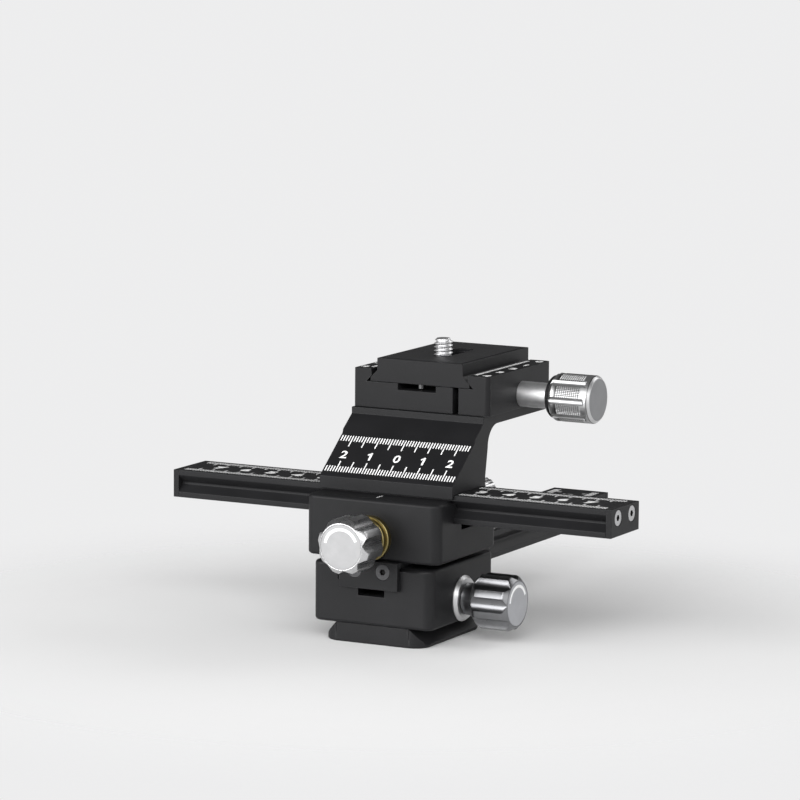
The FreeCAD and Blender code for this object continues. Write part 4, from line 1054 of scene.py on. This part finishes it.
class FOCUSRAIL_OT_studio(bpy.types.Operator):
    """Set the floor, the soft lights, the background and the camera"""
    bl_idname = "focusrail.studio"
    bl_label = "Studio"

    # each lamp's place from the object's middle, its width and its height, in metres
    lamps = (("front_light", (-0.72, -1.30, 0.42), 1.7, 0.9), ("side_light", (1.35, -0.45, 0.42), 1.0, 0.8),
             ("corner_light", (0.50, -1.00, 0.62), 0.8, 0.5), ("back_light", (0.75, 1.10, 0.80), 1.0, 0.8))

    def execute(self, context):
        scene, studio, tints = context.scene, context.scene.studio_settings, context.scene.finish_colours
        scene.view_settings.view_transform = "Standard"
        self.floor(studio, tints)
        self.background(scene, studio, tints)
        low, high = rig.bounds()
        for name, place, width, height in self.lamps:
            lamp = bpy.data.lights.new(name, "AREA")
            lamp.shape, lamp.size, lamp.size_y = "RECTANGLE", width, height
            lamp.energy = getattr(studio, name)
            holder = bpy.data.objects.new(name, lamp)
            scene.collection.objects.link(holder)
            holder.location = (low + high) / 2 + Vector(place)
            holder.rotation_euler = (-Vector(place)).to_track_quat("-Z", "Y").to_euler()
        self.camera(scene, studio)
        return {"FINISHED"}

    @staticmethod
    def floor(studio, tints):
        bm = bmesh.new()
        bmesh.ops.create_grid(bm, x_segments=1, y_segments=1, size=6.0)
        bmesh.ops.translate(bm, verts=bm.verts, vec=(0.0, 0.0, cad_low.z - 0.02 * MM))
        mesh = bpy.data.meshes.new("floor")
        bm.to_mesh(mesh)
        bm.free()
        s = Surface("pale_floor", tints.floor, 0.0, 0.7, specular=0.2)
        s.two_tone(s.noise(0.12), shade(tints.floor, 0.97), tints.floor)
        away = s.vector("LENGTH", s.place)["Value"]
        fade = s.span(away, studio.fade_start, studio.fade_end, 0.0, 1.0, "SMOOTHERSTEP")
        clear = s.add("BsdfTransparent").outputs[0]
        mix = s.add("MixShader", {0: fade, 1: s.shader.outputs[0], 2: clear})
        s.link(mix.outputs[0], s.tree.nodes["Material Output"].inputs[0])
        mesh.materials.append(s.material)
        floor = bpy.data.objects.new("floor", mesh)
        bpy.context.scene.collection.objects.link(floor)
        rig.stage(floor)

    @staticmethod
    def background(scene, studio, tints):
        """Pale behind the object and in its reflections near the horizon, and an even weak light."""
        scene.world = bpy.data.worlds.new("studio")
        scene.world.use_nodes = True
        n = Nodes(scene.world.node_tree)
        n.tree.nodes.clear()
        rays = n.add("LightPath").outputs
        seen = n.total(rays["Is Camera Ray"], rays["Is Glossy Ray"], "MAXIMUM")
        seen = n.total(seen, rays["Is Transmission Ray"], "MAXIMUM")
        up = n.add("SeparateXYZ", {0: n.add("TexCoord").outputs["Generated"]}).outputs["Z"]
        dim = n.span(up, 0.0, 0.13, 1.0, studio.zenith, "SMOOTHSTEP")
        pale = n.add("Background", {"Color": tints.background, "Strength": dim})
        ambient = n.add("Background", {"Color": (1.0, 1.0, 1.0), "Strength": studio.ambient})
        mix = n.add("MixShader", {0: seen, 1: ambient.outputs[0], 2: pale.outputs[0]})
        n.add("OutputWorld", {0: mix.outputs[0]})

    @staticmethod
    def camera(scene, studio):
        a, e, roll = studio.azimuth, studio.elevation, studio.roll
        back = Vector((math.sin(a) * math.cos(e), -math.cos(a) * math.cos(e), math.sin(e)))
        level = Vector((math.cos(a), math.sin(a), 0.0))
        upright = back.cross(level)
        right = level * math.cos(roll) + upright * math.sin(roll)
        up = upright * math.cos(roll) - level * math.sin(roll)
        target = Vector((-1.0, -1.8, 79.6)) * MM
        place = target + back * studio.distance
        lens = bpy.data.cameras.new("camera")
        lens.lens, lens.sensor_width = studio.focal / MM, 36.0
        lens.clip_start, lens.clip_end = 0.05, 50.0
        camera = bpy.data.objects.new("camera", lens)
        camera.matrix_world = matrix_of(right, up, back, place)
        scene.collection.objects.link(camera)
        scene.camera = camera


class FOCUSRAIL_PT_panel(bpy.types.Panel):
    """Lists the steps that build the focusing rail's looks"""
    bl_idname = "FOCUSRAIL_PT_panel"
    bl_label = "Focusing Rail"
    bl_space_type = "VIEW_3D"
    bl_region_type = "UI"
    bl_category = "Focusing Rail"

    def draw(self, context):
        for step in STEPS:
            self.layout.operator(step.bl_idname)
        for group in GROUPS:
            box = self.layout.box()
            settings = getattr(context.scene, group)
            for name in settings.bl_rna.properties.keys():
                if name not in ("rna_type", "name"):
                    box.prop(settings, name)


STEPS = (FOCUSRAIL_OT_milled_bodies, FOCUSRAIL_OT_drive_knobs, FOCUSRAIL_OT_clamp_knob,
         FOCUSRAIL_OT_camera_screw, FOCUSRAIL_OT_rail_scales, FOCUSRAIL_OT_bracket_scale,
         FOCUSRAIL_OT_clamp_scales, FOCUSRAIL_OT_small_parts, FOCUSRAIL_OT_studio)
GROUPS = {"knob_sizes": KnobSizes, "scale_sizes": ScaleSizes, "finish_colours": FinishColours,
          "studio_settings": StudioSettings}
CLASSES = (*GROUPS.values(), *STEPS, FOCUSRAIL_PT_panel)


def register():
    for made in CLASSES:
        bpy.utils.register_class(made)
    for name, group in GROUPS.items():
        setattr(bpy.types.Scene, name, bpy.props.PointerProperty(type=group))


def unregister():
    for name in GROUPS:
        delattr(bpy.types.Scene, name)
    for made in reversed(CLASSES):
        bpy.utils.unregister_class(made)


def main():
    register()
    for step in STEPS:
        family, name = step.bl_idname.split(".")
        getattr(getattr(bpy.ops, family), name)()
    low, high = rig.bounds()
    with open("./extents.json", "w") as out:
        json.dump({"cad": [list(cad_low), list(cad_high)], "visual": [list(low), list(high)]}, out)


if __name__ == "__main__":
    main()
